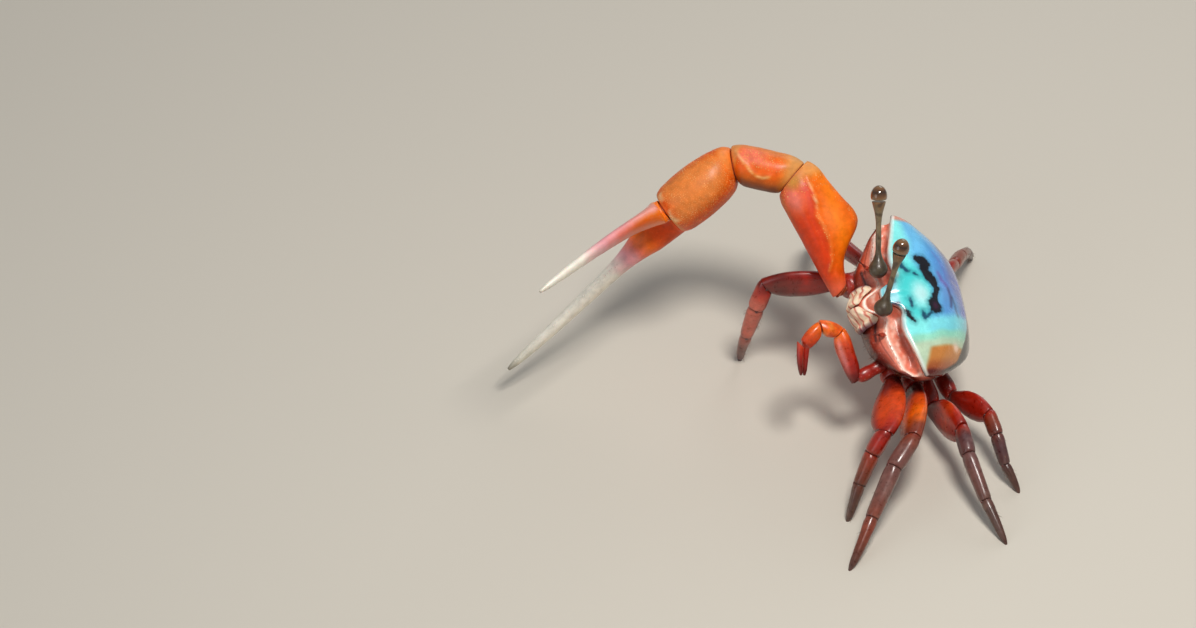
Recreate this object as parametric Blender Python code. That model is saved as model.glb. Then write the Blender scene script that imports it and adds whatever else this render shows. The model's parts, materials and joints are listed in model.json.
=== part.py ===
"""A male fiddler crab, life size, standing on the floor with its large claw held out in front.

Sizes are in millimetres in the code and in metres in the scene. The crab faces -X, its left side is
towards -Y, and +Z is up. Points on the body are given as (forward, left, back) shares of CARAPACE_WIDTH.
"""

import math

import bpy
import bmesh
import numpy as np
from mathutils import Vector

MM = 0.001
GAP = 0.3
CARAPACE_WIDTH = 25.0

# Where the body sits, and which way it faces, leans and rolls.
BODY_CENTRE = np.array((-0.3, 0.55, 21.5))
FORWARD = np.array((-0.691, -0.434, 0.578))
LEFT = np.array((0.191, -0.881, -0.433))

# Large claw, on the crab's right: joints from the body to the finger tips.
MAJOR_BASE = (-9.4, 5.7, 18.0)
MAJOR_ELBOW = (-16.3, 16.1, 29.6)
MAJOR_WRIST = (-24.4, 18.2, 30.2)
MAJOR_PALM_END = (-33.6, 15.0, 24.1)
POLLEX_BASE = (-36.6, 14.9, 19.6)
POLLEX_TIP = (-56.6, 2.9, 5.0)
FINGER_TIP = (-52.0, -8.2, 29.8)
PALM_ROLL = math.radians(10)
FINGER_RISE = 3.2
FINGER_ARCH = 2.2

# Small claw, on the crab's left.
MINOR_BASE = (-7.4, -6.4, 11.6)
MINOR_ELBOW = (-9.8, -2.6, 17.0)
MINOR_WRIST = (-12.4, -2.8, 18.2)
MINOR_PALM_END = (-14.6, -4.6, 16.6)
MINOR_TIP = (-15.0, -7.4, 13.2)

# Walking legs: coxa on the body, then hip, knee, wrist, ankle and foot.
LEGS = {
    "left_1": ((-0.13, 0.26, -0.35), ((-2.2, -5.7, 10.7), (-3.5, -16.4, 10.4), (-5.2, -17.8, 7.8),
                                      (-7.0, -20.6, 4.5), (-8.6, -23.2, 0.0))),
    "left_2": ((-0.25, 0.28, -0.33), ((1.0, -5.2, 8.7), (0.4, -17.2, 10.1), (-2.2, -21.4, 8.4),
                                      (-5.3, -27.0, 4.0), (-8.3, -33.1, 0.0))),
    "left_3": ((-0.37, 0.25, -0.32), ((3.5, -5.2, 4.9), (7.5, -13.2, 8.0), (8.4, -17.0, 6.8),
                                      (10.8, -22.8, 3.4), (13.4, -27.8, 0.0))),
    "left_4": ((-0.45, 0.20, -0.30), ((6.4, -2.9, 5.2), (11.4, -8.6, 6.8), (12.5, -11.5, 5.5),
                                      (13.7, -14.6, 2.7), (15.5, -17.3, 0.0))),
    "right_1": ((-0.13, -0.26, -0.35), ((-8.5, 9.3, 16.1), (-19.9, 9.3, 15.2), (-21.3, 8.8, 11.5),
                                        (-22.7, 9.2, 5.9), (-23.6, 10.5, 0.0))),
    "right_2": ((-0.25, -0.28, -0.33), ((-4.9, 13.6, 14.7), (-11.6, 23.2, 13.0), (-12.2, 27.4, 10.4),
                                        (-12.4, 31.2, 5.4), (-12.0, 33.3, 0.0))),
    "right_3": ((-0.37, -0.26, -0.31), ((-0.4, 14.8, 12.5), (0.0, 24.8, 8.8), (0.2, 29.0, 6.9),
                                        (0.4, 34.0, 3.9), (0.5, 37.6, 0.0))),
    "right_4": ((-0.47, -0.20, -0.28), ((3.3, 14.0, 11.1), (6.9, 21.3, 8.3), (7.9, 25.1, 6.6),
                                        (9.0, 29.4, 3.6), (9.8, 32.2, 0.0))),
}
LEG_SCALE = {"left_1": 1.06, "left_2": 1.1, "left_3": 0.98, "left_4": 0.82,
             "right_1": 0.92, "right_2": 1.0, "right_3": 1.0, "right_4": 0.84}
# Width and height of a thigh over the usual ones, and its twist about its own length.
THIGHS = {"left_1": (1.0, 1.0, -36), "left_3": (1.0, 1.16, 0), "left_4": (1.0, 0.95, 0)}

CHELIPED = {"major": (-0.02, -0.22, -0.34), "minor": (-0.036, 0.30, -0.325)}

# Eyes.
EYE_RADIUS = 1.2
STALKS = {
    "left": ((0.147, 0.113, -0.090), (-1.2, -0.2, 30.8)),
    "right": ((0.118, -0.118, -0.080), (-4.2, 8.4, 33.1)),
}

COLOURS = {
    "carapace_blue": (0.10, 0.55, 0.80),
    "body_coral": (0.72, 0.30, 0.22),
    "claw_orange": (0.85, 0.28, 0.05),
    "finger_pale": (0.90, 0.82, 0.76),
    "limb_red": (0.55, 0.08, 0.03),
    "limb_brown": (0.30, 0.12, 0.09),
    "stalk_olive": (0.20, 0.14, 0.07),
    "eye_dark": (0.10, 0.06, 0.04),
    "mouth_cream": (0.85, 0.62, 0.50),
}


def unit(v):
    v = np.asarray(v, float)
    return v / np.linalg.norm(v)


LEFT = unit(LEFT - FORWARD * (LEFT @ FORWARD) / (FORWARD @ FORWARD))
FORWARD = unit(FORWARD)
BACK = np.cross(FORWARD, LEFT)


def on_body(forward, left, back):
    return BODY_CENTRE + CARAPACE_WIDTH * (forward * FORWARD + left * LEFT + back * BACK)


def curve(points, x):
    """Smooth curve through (x, y) points, level outside them."""
    xs, ys = np.array(points, float).T
    if x <= xs[0]:
        return ys[0]
    if x >= xs[-1]:
        return ys[-1]
    slopes = np.gradient(ys, xs)
    i = int(np.searchsorted(xs, x)) - 1
    step = xs[i + 1] - xs[i]
    t = (x - xs[i]) / step
    return (
        (2 * t**3 - 3 * t**2 + 1) * ys[i]
        + (t**3 - 2 * t**2 + t) * step * slopes[i]
        + (3 * t**2 - 2 * t**3) * ys[i + 1]
        + (t**3 - t**2) * step * slopes[i + 1]
    )


def material(name):
    found = bpy.data.materials.get(name)
    if found is None:
        found = bpy.data.materials.new(name)
        found.use_nodes = True
        shader = found.node_tree.nodes["Principled BSDF"]
        shader.inputs["Base Color"].default_value = (*COLOURS[name], 1)
        shader.inputs["Roughness"].default_value = 0.35
        found.diffuse_color = (*COLOURS[name], 1)
    return found


def loft(name, rings, slot):
    """Closed solid through rings of equal point count, each end closed by a fan."""
    mesh = bpy.data.meshes.new(name)
    count = len(rings[0])
    points = [Vector(p) * MM for ring in rings for p in ring]
    faces = []
    for i in range(len(rings) - 1):
        for k in range(count):
            j = (k + 1) % count
            faces.append((i * count + k, i * count + j, (i + 1) * count + j, (i + 1) * count + k))
    for i in (0, len(rings) - 1):
        centre = len(points)
        points.append(Vector(np.mean(rings[i], axis=0)) * MM)
        for k in range(count):
            faces.append((i * count + k, i * count + (k + 1) % count, centre))
    mesh.from_pydata(points, [], faces)
    shape = bmesh.new()
    shape.from_mesh(mesh)
    bmesh.ops.recalc_face_normals(shape, faces=shape.faces)
    shape.to_mesh(mesh)
    shape.free()
    part = bpy.data.objects.new(name, mesh)
    bpy.context.scene.collection.objects.link(part)
    mesh.materials.append(material(slot))
    return part


def section(count, sizes, power=2.3):
    """Ring of (across, up) offsets: sizes are the reach to +across, -across, +up and -up."""
    right, left, top, bottom = sizes
    ring = []
    for k in range(count):
        angle = 2 * math.pi * k / count
        x, y = math.cos(angle), math.sin(angle)
        x = math.copysign(abs(x) ** (2 / power), x)
        y = math.copysign(abs(y) ** (2 / power), y)
        ring.append((x * (right if x > 0 else left), y * (top if y > 0 else bottom)))
    return ring


def limb_rings(start, end, top, stations, first=None, last=None, gaps=(GAP / 2, GAP / 2), count=12,
               power=2.3):
    """Rings along a limb. Planes through its two ends, first and last, trim it with half a gap each.

    A station is (share of the length, reach +across, -across, +up, -up, shift up). The slant of an end
    plane fades out along the limb.
    """
    start, end = np.asarray(start, float), np.asarray(end, float)
    axis = unit(end - start)
    up = unit(np.asarray(top, float) - axis * (np.asarray(top, float) @ axis))
    across = np.cross(axis, up)
    first = axis if first is None else first
    last = axis if last is None else last
    length = np.linalg.norm(end - start)

    def trims(offset):
        low = (gaps[0] - first @ offset) / (first @ axis)
        high = (last @ (end - start - offset) - gaps[1]) / (last @ axis) - length
        return low, high

    rows = []
    for share, *sizes, shift in stations:
        rows.append((share, [across * x + up * (y + shift) for x, y in section(count, sizes, power)]))
    slant = max(max(map(abs, trims(offset))) for _, row in rows for offset in row)
    fade = max(1, min(3, 0.7 * length / slant))
    rings = []
    for share, row in rows:
        ring = []
        for offset in row:
            low, high = trims(offset)
            slide = length * share + low * abs(1 - share) ** fade + high * share ** fade
            ring.append(start + offset + axis * slide)
        rings.append(ring)
    return rings


def between(a, b, c):
    """Normal of the plane that splits the bend a-b-c in half."""
    return unit(unit(np.subtract(b, a)) + unit(np.subtract(c, b)))


def base_plane(name, base, elbow):
    """Normal of the plane between a claw's coxa and its merus, nearly square to the merus."""
    return unit(unit(np.subtract(elbow, base)) + 0.6 * unit(np.subtract(base, on_body(*CHELIPED[name]))))


# Body shell: outline, height and thickness as shares of the carapace width.

FRONT_EDGE = [(0, 0.135), (0.035, 0.128), (0.06, 0.105), (0.08, 0.080), (0.11, 0.066), (0.15, 0.074),
              (0.20, 0.080), (0.25, 0.074), (0.30, 0.060), (0.36, 0.040), (0.42, 0.015), (0.47, -0.010),
              (0.5, -0.03)]
REAR_EDGE = [(0, -0.545), (0.12, -0.54), (0.2, -0.53), (0.26, -0.51), (0.32, -0.45), (0.39, -0.34),
             (0.45, -0.22), (0.49, -0.12), (0.5, -0.06)]
HALF_WIDTH = [(-0.56, 0.20), (-0.52, 0.26), (-0.46, 0.32), (-0.35, 0.39), (-0.22, 0.45), (-0.12, 0.49),
              (0, 0.5), (0.1, 0.5)]
CREST = [(-0.56, -0.075), (-0.52, -0.03), (-0.44, 0.035), (-0.33, 0.085), (-0.2, 0.10), (-0.08, 0.078),
         (0, 0.045), (0.06, 0.012), (0.135, -0.05)]
MARGIN = [(-0.56, -0.085), (-0.5, -0.06), (-0.3, -0.02), (-0.12, 0.0), (0.1, 0.0)]
BODY_FLOOR = [(0, -0.40), (0.15, -0.40), (0.25, -0.375), (0.32, -0.32), (0.38, -0.25), (0.43, -0.18),
              (0.46, -0.14), (0.475, -0.12)]
FLOOR_FRONT = [(0, 0.0), (0.2, -0.03), (0.35, -0.09), (0.475, -0.05)]
FLOOR_REAR = [(0, -0.42), (0.2, -0.40), (0.3, -0.33), (0.4, -0.22), (0.475, -0.12)]
ORBIT_DEPTH = [(0, 0), (0.05, 0), (0.10, 0.045), (0.16, 0.062), (0.40, 0.05), (0.475, 0.012)]


def bulge(side):
    return curve([(0, 0.055), (0.15, 0.06), (0.3, 0.07), (0.4, 0.05), (0.475, 0.02)], side)


def top_of(f, side):
    share = min(1, abs(side) / curve(HALF_WIDTH, f)) ** 3
    return curve(CREST, f) * (1 - share) + curve(MARGIN, f) * share


def under_of(f, side):
    near_edge = min(1, max(0, curve(FRONT_EDGE, abs(side)) - f) / 0.08)
    near_side = 1 - min(1, abs(side) / curve(HALF_WIDTH, f)) ** 3
    return top_of(f, side) - 0.026 - 0.030 * near_edge * near_side


def shell_stations():
    half = (0.035, 0.07, 0.10, 0.14, 0.19, 0.25, 0.31, 0.37, 0.42, 0.46, 0.485, 0.4985)
    return [-s for s in reversed(half)] + [0.0] + list(half)


def carapace():
    rings = []
    for side in shell_stations():
        front, rear = curve(FRONT_EDGE, abs(side)), curve(REAR_EDGE, abs(side))
        shares = [0.5 - 0.5 * math.cos(math.pi * k / 12) for k in range(13)]
        fs = [rear + (front - rear) * s for s in shares]
        upper = [(f, top_of(f, side)) for f in fs]
        lower = [(f, under_of(f, side)) for f in reversed(fs[1:-1])]
        nose = [(fs[-1] + 0.004, (top_of(fs[-1], side) + under_of(fs[-1], side)) / 2)]
        tail = [(fs[0] - 0.004, (top_of(fs[0], side) + under_of(fs[0], side)) / 2)]
        rings.append([on_body(f, side, d) for f, d in upper + nose + lower + tail])
    return loft("carapace", rings, "carapace_blue")


def body_profile(side):
    """Section of the body below the carapace at this side, as (forward, back) points."""
    a = abs(side)
    gap = GAP / CARAPACE_WIDTH
    front, rear = curve(FRONT_EDGE, a) - 0.018, curve(REAR_EDGE, a) + 0.018
    orbit, floor = curve(ORBIT_DEPTH, a), curve(BODY_FLOOR, a)
    tops = [(rear + (front - rear) * k / 9, None) for k in range(10)]
    tops = [(f, under_of(f, side) - gap) for f, _ in tops]
    brow = tops[-1][1]
    high = min(0.115, 0.62 * (brow - floor))
    socket = [(front - 0.45 * orbit, brow - 0.14 * high), (front - orbit, brow - 0.42 * high),
              (front - 0.85 * orbit, brow - 0.72 * high), (front - 0.2 * orbit, brow - 0.9 * high)]
    lip = (front + 0.012, brow - high)
    low_front, low_rear = curve(FLOOR_FRONT, a), curve(FLOOR_REAR, a)
    face = [(lip[0] + (low_front - lip[0]) * t + bulge(a) * math.sin(math.pi * t),
             lip[1] + (floor - lip[1]) * t)
            for t in (0.0, 0.2, 0.45, 0.7, 0.9)]
    base = [(low_front + (low_rear - low_front) * t, floor - 0.012 * math.sin(math.pi * t))
            for t in (0.08, 0.35, 0.65, 0.92)]
    wall = [(low_rear + (rear - low_rear) * t - 0.03 * math.sin(math.pi * t),
             floor + (tops[0][1] - floor) * t)
            for t in (0.12, 0.4, 0.7, 0.92)]
    return tops + socket + face + base + wall


def face_at(side, t):
    """Point on the front of the body from the mouth frame (t = 0) to the breast plate (t = 1)."""
    a = abs(side)
    front, floor = curve(FRONT_EDGE, a) - 0.018, curve(BODY_FLOOR, a)
    brow = under_of(front, side) - GAP / CARAPACE_WIDTH
    high = min(0.115, 0.62 * (brow - floor))
    low_front = curve(FLOOR_FRONT, a)
    forward = front + 0.012 + (low_front - front - 0.012) * t + bulge(a) * math.sin(math.pi * t)
    return forward, brow - high + (floor - brow + high) * t


def keep_largest(part):
    """Only the largest closed surface stays after a union."""
    shape = bmesh.new()
    shape.from_mesh(part.data)
    groups, seen = [], set()
    for face in shape.faces:
        if face in seen:
            continue
        group, queue = [], [face]
        seen.add(face)
        while queue:
            at = queue.pop()
            group.append(at)
            for edge in at.edges:
                for other in edge.link_faces:
                    if other not in seen:
                        seen.add(other)
                        queue.append(other)
        groups.append(group)
    groups.sort(key=len)
    for group in groups[:-1]:
        bmesh.ops.delete(shape, geom=group, context="FACES")
    shape.to_mesh(part.data)
    shape.free()


def join_solids(part, extras):
    """Union of part with the closed meshes in extras."""
    helpers = bpy.data.collections.new("helpers")
    bpy.context.scene.collection.children.link(helpers)
    for extra in extras:
        for owner in list(extra.users_collection):
            owner.objects.unlink(extra)
        helpers.objects.link(extra)
    boolean = part.modifiers.new("join", "BOOLEAN")
    boolean.operation = "UNION"
    boolean.operand_type = "COLLECTION"
    boolean.collection = helpers
    boolean.solver = "EXACT"
    bpy.context.view_layer.objects.active = part
    bpy.ops.object.modifier_apply(modifier="join")
    for extra in extras:
        bpy.data.objects.remove(extra)
    bpy.data.collections.remove(helpers)
    keep_largest(part)


def stub(name, anchor, tip, reach, size, last=None):
    """Coxa: a short block from inside the body to the first joint."""
    axis = unit(np.subtract(tip, anchor))
    inner = np.asarray(anchor) - axis * reach
    high, wide = size
    stations = [(share, wide * size, wide * size, high * size, high * size, 0)
                for share, size in ((0, 1), (0.5, 1), (0.85, 1.08), (1, 0.85))]
    return loft(name, limb_rings(inner, tip, BACK, stations, None, last, (0, GAP / 2)), "body_coral")


def body():
    stations = [s for s in shell_stations() if abs(s) < 0.475]
    stations = [-0.474] + stations + [0.474]
    part = loft("body", [[on_body(f, s, d) for f, d in body_profile(s)] for s in stations], "body_coral")
    extras = []
    for name in LEGS:
        coxa, (hip, knee, _, _, _) = LEGS[name]
        scale, anchor = LEG_SCALE[name], on_body(*coxa)
        size, last = (1.45 * scale, 1.15 * scale), between(anchor, hip, knee)
        extras.append(stub("coxa_" + name, anchor, hip, 1.2, size, last))
    for name, tip, elbow, size in (("major", MAJOR_BASE, MAJOR_ELBOW, (2.0, 1.8)),
                                   ("minor", MINOR_BASE, MINOR_ELBOW, (1.0, 1.0))):
        anchor, last = on_body(*CHELIPED[name]), base_plane(name, tip, elbow)
        extras.append(stub("coxa_" + name, anchor, tip, 1.5, size, last))
    join_solids(part, extras)
    return part


def abdomen():
    """Narrow tail folded under the body, from the rear margin forward along the breast plate."""
    gap = GAP / CARAPACE_WIDTH
    profile = body_profile(0.0)
    low = profile[-8:]
    path = [np.array(p) for p in low]
    normals = []
    for i, p in enumerate(path):
        along = path[min(i + 1, len(path) - 1)] - path[max(i - 1, 0)]
        normals.append(unit((along[1], -along[0])))
    centre = np.array((-0.25, -0.2))
    rings = []
    thick = 0.030
    widths = (0.045, 0.055, 0.065, 0.075, 0.09, 0.10, 0.105, 0.10)
    for i, (p, n, w) in enumerate(zip(path, normals, widths)):
        if (p - centre) @ n < 0:
            n = -n
        inner, outer = p + n * (gap + 0.006), p + n * (gap + 0.006 + thick)
        if i == len(path) - 1:
            inner, outer = inner - np.array((0, 0.012)), outer - np.array((0, 0.012))
        ring = []
        middle = (inner + outer) / 2
        for s, q in ((-w, inner), (0, inner), (w, inner), (w, middle), (w * 0.7, outer), (0, outer),
                     (-w * 0.7, outer), (-w, middle)):
            ring.append(on_body(q[0], s, q[1]))
        rings.append(ring)
    return loft("abdomen", rings, "body_coral")


def maxilliped(name, sign):
    """Flat mouth plate over one half of the mouth frame."""
    gap = GAP / CARAPACE_WIDTH
    rings = []
    plan = ((0.06, 0.010, 0.085, 0.018), (0.16, 0.008, 0.112, 0.030), (0.3, 0.008, 0.122, 0.034),
            (0.44, 0.008, 0.124, 0.030), (0.5, 0.008, 0.126, 0.024), (0.56, 0.008, 0.126, 0.033),
            (0.75, 0.008, 0.118, 0.034), (0.9, 0.012, 0.09, 0.022))
    for t, inner, outer, thick in plan:
        ring, middle = [], (inner + outer) / 2
        for s, lift in ((inner, 0), (middle, 0), (outer, 0), (outer, 0.5), (outer - 0.02, 1), (middle, 1.12),
                        (inner + 0.012, 1), (inner, 0.6)):
            f, d = face_at(s, t)
            ring.append(on_body(f + gap + 0.004 + thick * lift, sign * s, d))
        rings.append(ring)
    return loft(name, rings, "mouth_cream")


def eye(name):
    """Eyestalk and cornea as two nodes, parted by a level cut through the swelling."""
    base, top = STALKS[name]
    base, top = on_body(*base), np.asarray(top, float)
    axis = unit(top - base)
    sway = unit(np.cross(axis, LEFT))
    neck = top - axis * EYE_RADIUS * 0.55
    stations = [(share, r, r, r, r, 0)
                for share, r in ((0, 0.7), (0.04, 1.02), (0.10, 1.2), (0.16, 1.12), (0.23, 0.72), (0.30, 0.5),
                                 (0.5, 0.42), (0.76, 0.45), (0.86, 0.62), (0.94, 0.86), (1, 1.0))]
    rings = limb_rings(base, neck, sway, stations, gaps=(0, GAP / 2), power=2)
    stalk = loft("eyestalk_" + name, rings, "stalk_olive")
    tip = top + axis * EYE_RADIUS * 1.25
    shares = (0, 0.16, 0.34, 0.52, 0.70, 0.84, 0.94, 0.985)
    cap = []
    for share in shares:
        r = EYE_RADIUS * math.sqrt(max(0.01, 1 - (share * 1.38 - 0.38) ** 2))
        cap.append((share, r, r, r, r, 0))
    rings = limb_rings(neck, tip, sway, cap, gaps=(GAP / 2, 0), power=2, count=14)
    lens = loft("eye_" + name, rings, "eye_dark")
    return stalk, lens


def antenna(name, sign):
    base = on_body(0.084, sign * 0.20, -0.155)
    tip = on_body(0.225, sign * 0.235, -0.125)
    stations = [(0, 0.45, 0.45, 0.4, 0.4, 0), (0.15, 0.5, 0.5, 0.45, 0.45, 0), (0.3, 0.36, 0.36, 0.32, 0.32, 0),
                (0.6, 0.27, 0.27, 0.25, 0.25, 0.05), (1, 0.14, 0.14, 0.12, 0.12, 0.1)]
    return loft("antenna_" + name, limb_rings(base, tip, BACK, stations, gaps=(0, 0), count=8), "mouth_cream")


def scaled(stations, across, up):
    return [(s, a * across, b * across, c * up, d * up, e * up) for s, a, b, c, d, e in stations]


MERUS = [(0, 0.85, 0.85, 1.1, 1.1, 0), (0.05, 0.98, 0.98, 1.3, 1.25, 0), (0.14, 1.0, 1.0, 1.6, 1.5, 0),
         (0.3, 1.08, 1.08, 2.2, 2.0, 0), (0.52, 1.15, 1.15, 2.6, 2.4, 0), (0.72, 1.15, 1.15, 2.5, 2.35, 0),
         (0.88, 1.1, 1.1, 1.95, 2.1, 0), (0.96, 1.05, 1.05, 1.55, 1.8, 0), (1, 0.9, 0.9, 1.25, 1.5, 0)]
CARPUS = [(0, 0.95, 0.95, 1.25, 1.15, 0), (0.10, 1.08, 1.08, 1.42, 1.22, 0), (0.4, 1.15, 1.15, 1.5, 1.25, 0),
          (0.8, 1.15, 1.15, 1.48, 1.3, 0), (0.93, 1.1, 1.1, 1.4, 1.25, 0), (1, 1.0, 1.0, 1.25, 1.12, 0)]
PROPODUS = [(0, 0.96, 0.96, 1.16, 1.12, 0), (0.07, 1.03, 1.03, 1.26, 1.22, 0), (0.4, 1.02, 1.02, 1.25, 1.2, 0),
            (0.8, 0.94, 0.94, 1.1, 1.07, 0), (0.94, 0.9, 0.9, 1.02, 1.0, 0), (1, 0.82, 0.82, 0.92, 0.9, 0)]
DACTYL = [(0, 0.76, 0.76, 0.86, 0.84, 0), (0.08, 0.84, 0.84, 0.95, 0.92, 0), (0.35, 0.76, 0.76, 0.86, 0.84, 0.12),
          (0.7, 0.62, 0.62, 0.68, 0.68, 0.12), (0.9, 0.46, 0.46, 0.5, 0.5, 0.04), (1, 0.3, 0.3, 0.32, 0.32, 0)]


def leg(name):
    coxa, joints = LEGS[name]
    joints = [np.array(joint) for joint in joints]
    hip, knee, foot = joints[0], joints[1], joints[-1]
    thigh, shin = unit(knee - hip), unit(foot - knee)
    out = unit(thigh - shin * (thigh @ shin))
    wide, high, twist = THIGHS.get(name, (1, 1, 0))
    twist = math.radians(twist)
    up = unit(-shin - thigh * (-shin @ thigh))
    up = math.cos(twist) * up + math.sin(twist) * np.cross(thigh, up)
    scale = LEG_SCALE[name]
    planes = [between(on_body(*coxa), hip, knee)] + [between(*joints[i:i + 3]) for i in range(3)]
    planes.append(np.array((0, 0, -1.0)))
    tops = [up, out, out, out]
    prefix = "leg_" + name + "_"
    made = []
    parts = (("merus", MERUS, "limb_red"), ("carpus", CARPUS, "limb_brown"), ("propodus", PROPODUS, "limb_brown"),
             ("dactyl", DACTYL, "limb_brown"))
    for i, (part, stations, slot) in enumerate(parts):
        gaps = (GAP / 2, 0 if part == "dactyl" else GAP / 2)
        if part == "merus":
            stations = scaled(stations, wide, high)
        rings = limb_rings(joints[i], joints[i + 1], tops[i], scaled(stations, scale, scale),
                           planes[i], planes[i + 1], gaps)
        made.append(loft(prefix + part, rings, slot))
    return made


def major_claw():
    base, elbow, wrist, palm_end = (np.array(p) for p in (MAJOR_BASE, MAJOR_ELBOW, MAJOR_WRIST, MAJOR_PALM_END))
    towards = np.array((0, -0.743, 0.669))
    crest = unit(np.array((0.93, 0.248, 0.275)))
    # Merus: a three-sided arm with an arched crest.
    stations = [(0, 1.5, 1.5, 1.3, 1.6, 0), (0.10, 1.8, 1.8, 1.5, 1.8, 0), (0.20, 2.0, 2.1, 2.4, 2.0, 0),
                (0.28, 2.2, 2.4, 3.9, 2.1, 0), (0.34, 2.3, 2.6, 5.2, 2.2, 0), (0.41, 2.4, 2.8, 6.1, 2.3, 0),
                (0.50, 2.5, 2.9, 6.2, 2.4, 0), (0.64, 2.5, 3.0, 5.4, 2.6, 0), (0.80, 2.5, 3.0, 4.5, 2.8, 0),
                (0.92, 2.4, 2.8, 3.9, 2.9, 0), (1, 2.0, 2.3, 3.0, 2.7, 0)]
    loft("major_merus", limb_rings(base, elbow, crest, stations, base_plane("major", base, elbow),
                                   between(base, elbow, wrist), count=16, power=1.75), "claw_orange")
    stations = [(0, 2.2, 2.2, 2.5, 2.4, 0), (0.12, 2.8, 2.8, 3.0, 2.6, 0), (0.4, 3.3, 3.3, 3.2, 2.7, 0),
                (0.7, 3.4, 3.4, 3.2, 2.7, 0), (0.9, 3.2, 3.2, 3.0, 2.6, 0), (1, 2.6, 2.6, 2.6, 2.3, 0)]
    raised = np.array((0, 0.669, 0.743))
    hand = unit(palm_end - wrist)
    loft("major_carpus", limb_rings(elbow, wrist, raised, stations, between(base, elbow, wrist),
                                    between(elbow, wrist, palm_end), count=16), "claw_orange")

    # Palm and fixed finger in one piece.
    up = unit(towards - hand * (towards @ hand))
    outer = np.cross(hand, up)
    up = math.cos(PALM_ROLL) * up + math.sin(PALM_ROLL) * outer
    outer = np.cross(hand, up)
    stations = [(0, 2.4, 2.3, 2.7, 2.5, 0), (0.07, 3.1, 2.8, 3.6, 3.4, 0), (0.2, 3.6, 3.2, 4.6, 4.4, 0),
                (0.4, 3.9, 3.5, 5.3, 5.1, 0), (0.62, 3.9, 3.7, 5.6, 5.5, 0), (0.8, 3.7, 3.7, 5.5, 5.5, 0),
                (0.92, 3.3, 3.5, 5.1, 5.4, 0), (1, 2.8, 3.1, 4.5, 5.2, 0), (1.025, 2.5, 2.9, 2.1, 2.3, -2.9)]
    rings = limb_rings(wrist, palm_end, up, stations, between(elbow, wrist, palm_end), hand, (GAP / 2, 0), count=16)
    root, tip = np.array(POLLEX_BASE), np.array(POLLEX_TIP)
    along = unit(tip - root)
    rise = unit(up - along * (up @ along))
    side = np.cross(along, rise)
    sag = -0.9
    for share, wide, above, below in ((0.0, 2.1, 2.1, 2.2), (0.06, 1.6, 2.0, 2.1), (0.16, 1.25, 1.9, 1.95),
                                      (0.3, 1.05, 1.8, 1.8), (0.45, 0.95, 1.7, 1.6), (0.6, 0.85, 1.5, 1.4),
                                      (0.75, 0.75, 1.25, 1.15), (0.88, 0.6, 0.95, 0.85), (0.96, 0.42, 0.6, 0.5),
                                      (1.0, 0.22, 0.28, 0.22)):
        centre = root + (tip - root) * share + rise * sag * math.sin(math.pi * share)
        ring = [centre + side * x + rise * y for x, y in section(16, (wide, wide, above, below), 2.2)]
        rings.append(ring)
    loft("major_palm", rings, "claw_orange")

    # Movable finger: it leaves the palm square to its end, then arches out to its tip.
    root, tip = palm_end + hand * (GAP + 0.2) + up * FINGER_RISE + outer * 0.2, np.array(FINGER_TIP)
    rise = unit(up - unit(tip - root) * (up @ unit(tip - root)))

    def centre(share):
        return root + (tip - root) * share + rise * FINGER_ARCH * math.sin(math.pi * share ** 0.8)

    rings = []
    for share, wide, above, below in ((0.0, 1.7, 2.1, 2.2), (0.04, 1.75, 2.2, 2.2), (0.09, 1.5, 2.1, 2.2),
                                      (0.18, 1.15, 2.0, 2.1), (0.3, 0.95, 1.9, 2.0), (0.45, 0.85, 1.8, 1.8),
                                      (0.6, 0.75, 1.6, 1.5), (0.75, 0.65, 1.3, 1.2), (0.88, 0.52, 0.9, 0.85),
                                      (0.96, 0.38, 0.55, 0.5), (1.0, 0.2, 0.26, 0.22)):
        turn = min(1, share / 0.15)
        along = unit((1 - turn) * hand + turn * unit(centre(share + 0.01) - centre(share)))
        ring_up = unit(up - along * (up @ along))
        across = np.cross(along, ring_up)
        ring = section(14, (wide, wide, above, below), 2.2)
        rings.append([centre(share) + across * x + ring_up * y for x, y in ring])
    loft("major_finger", rings, "finger_pale")


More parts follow.
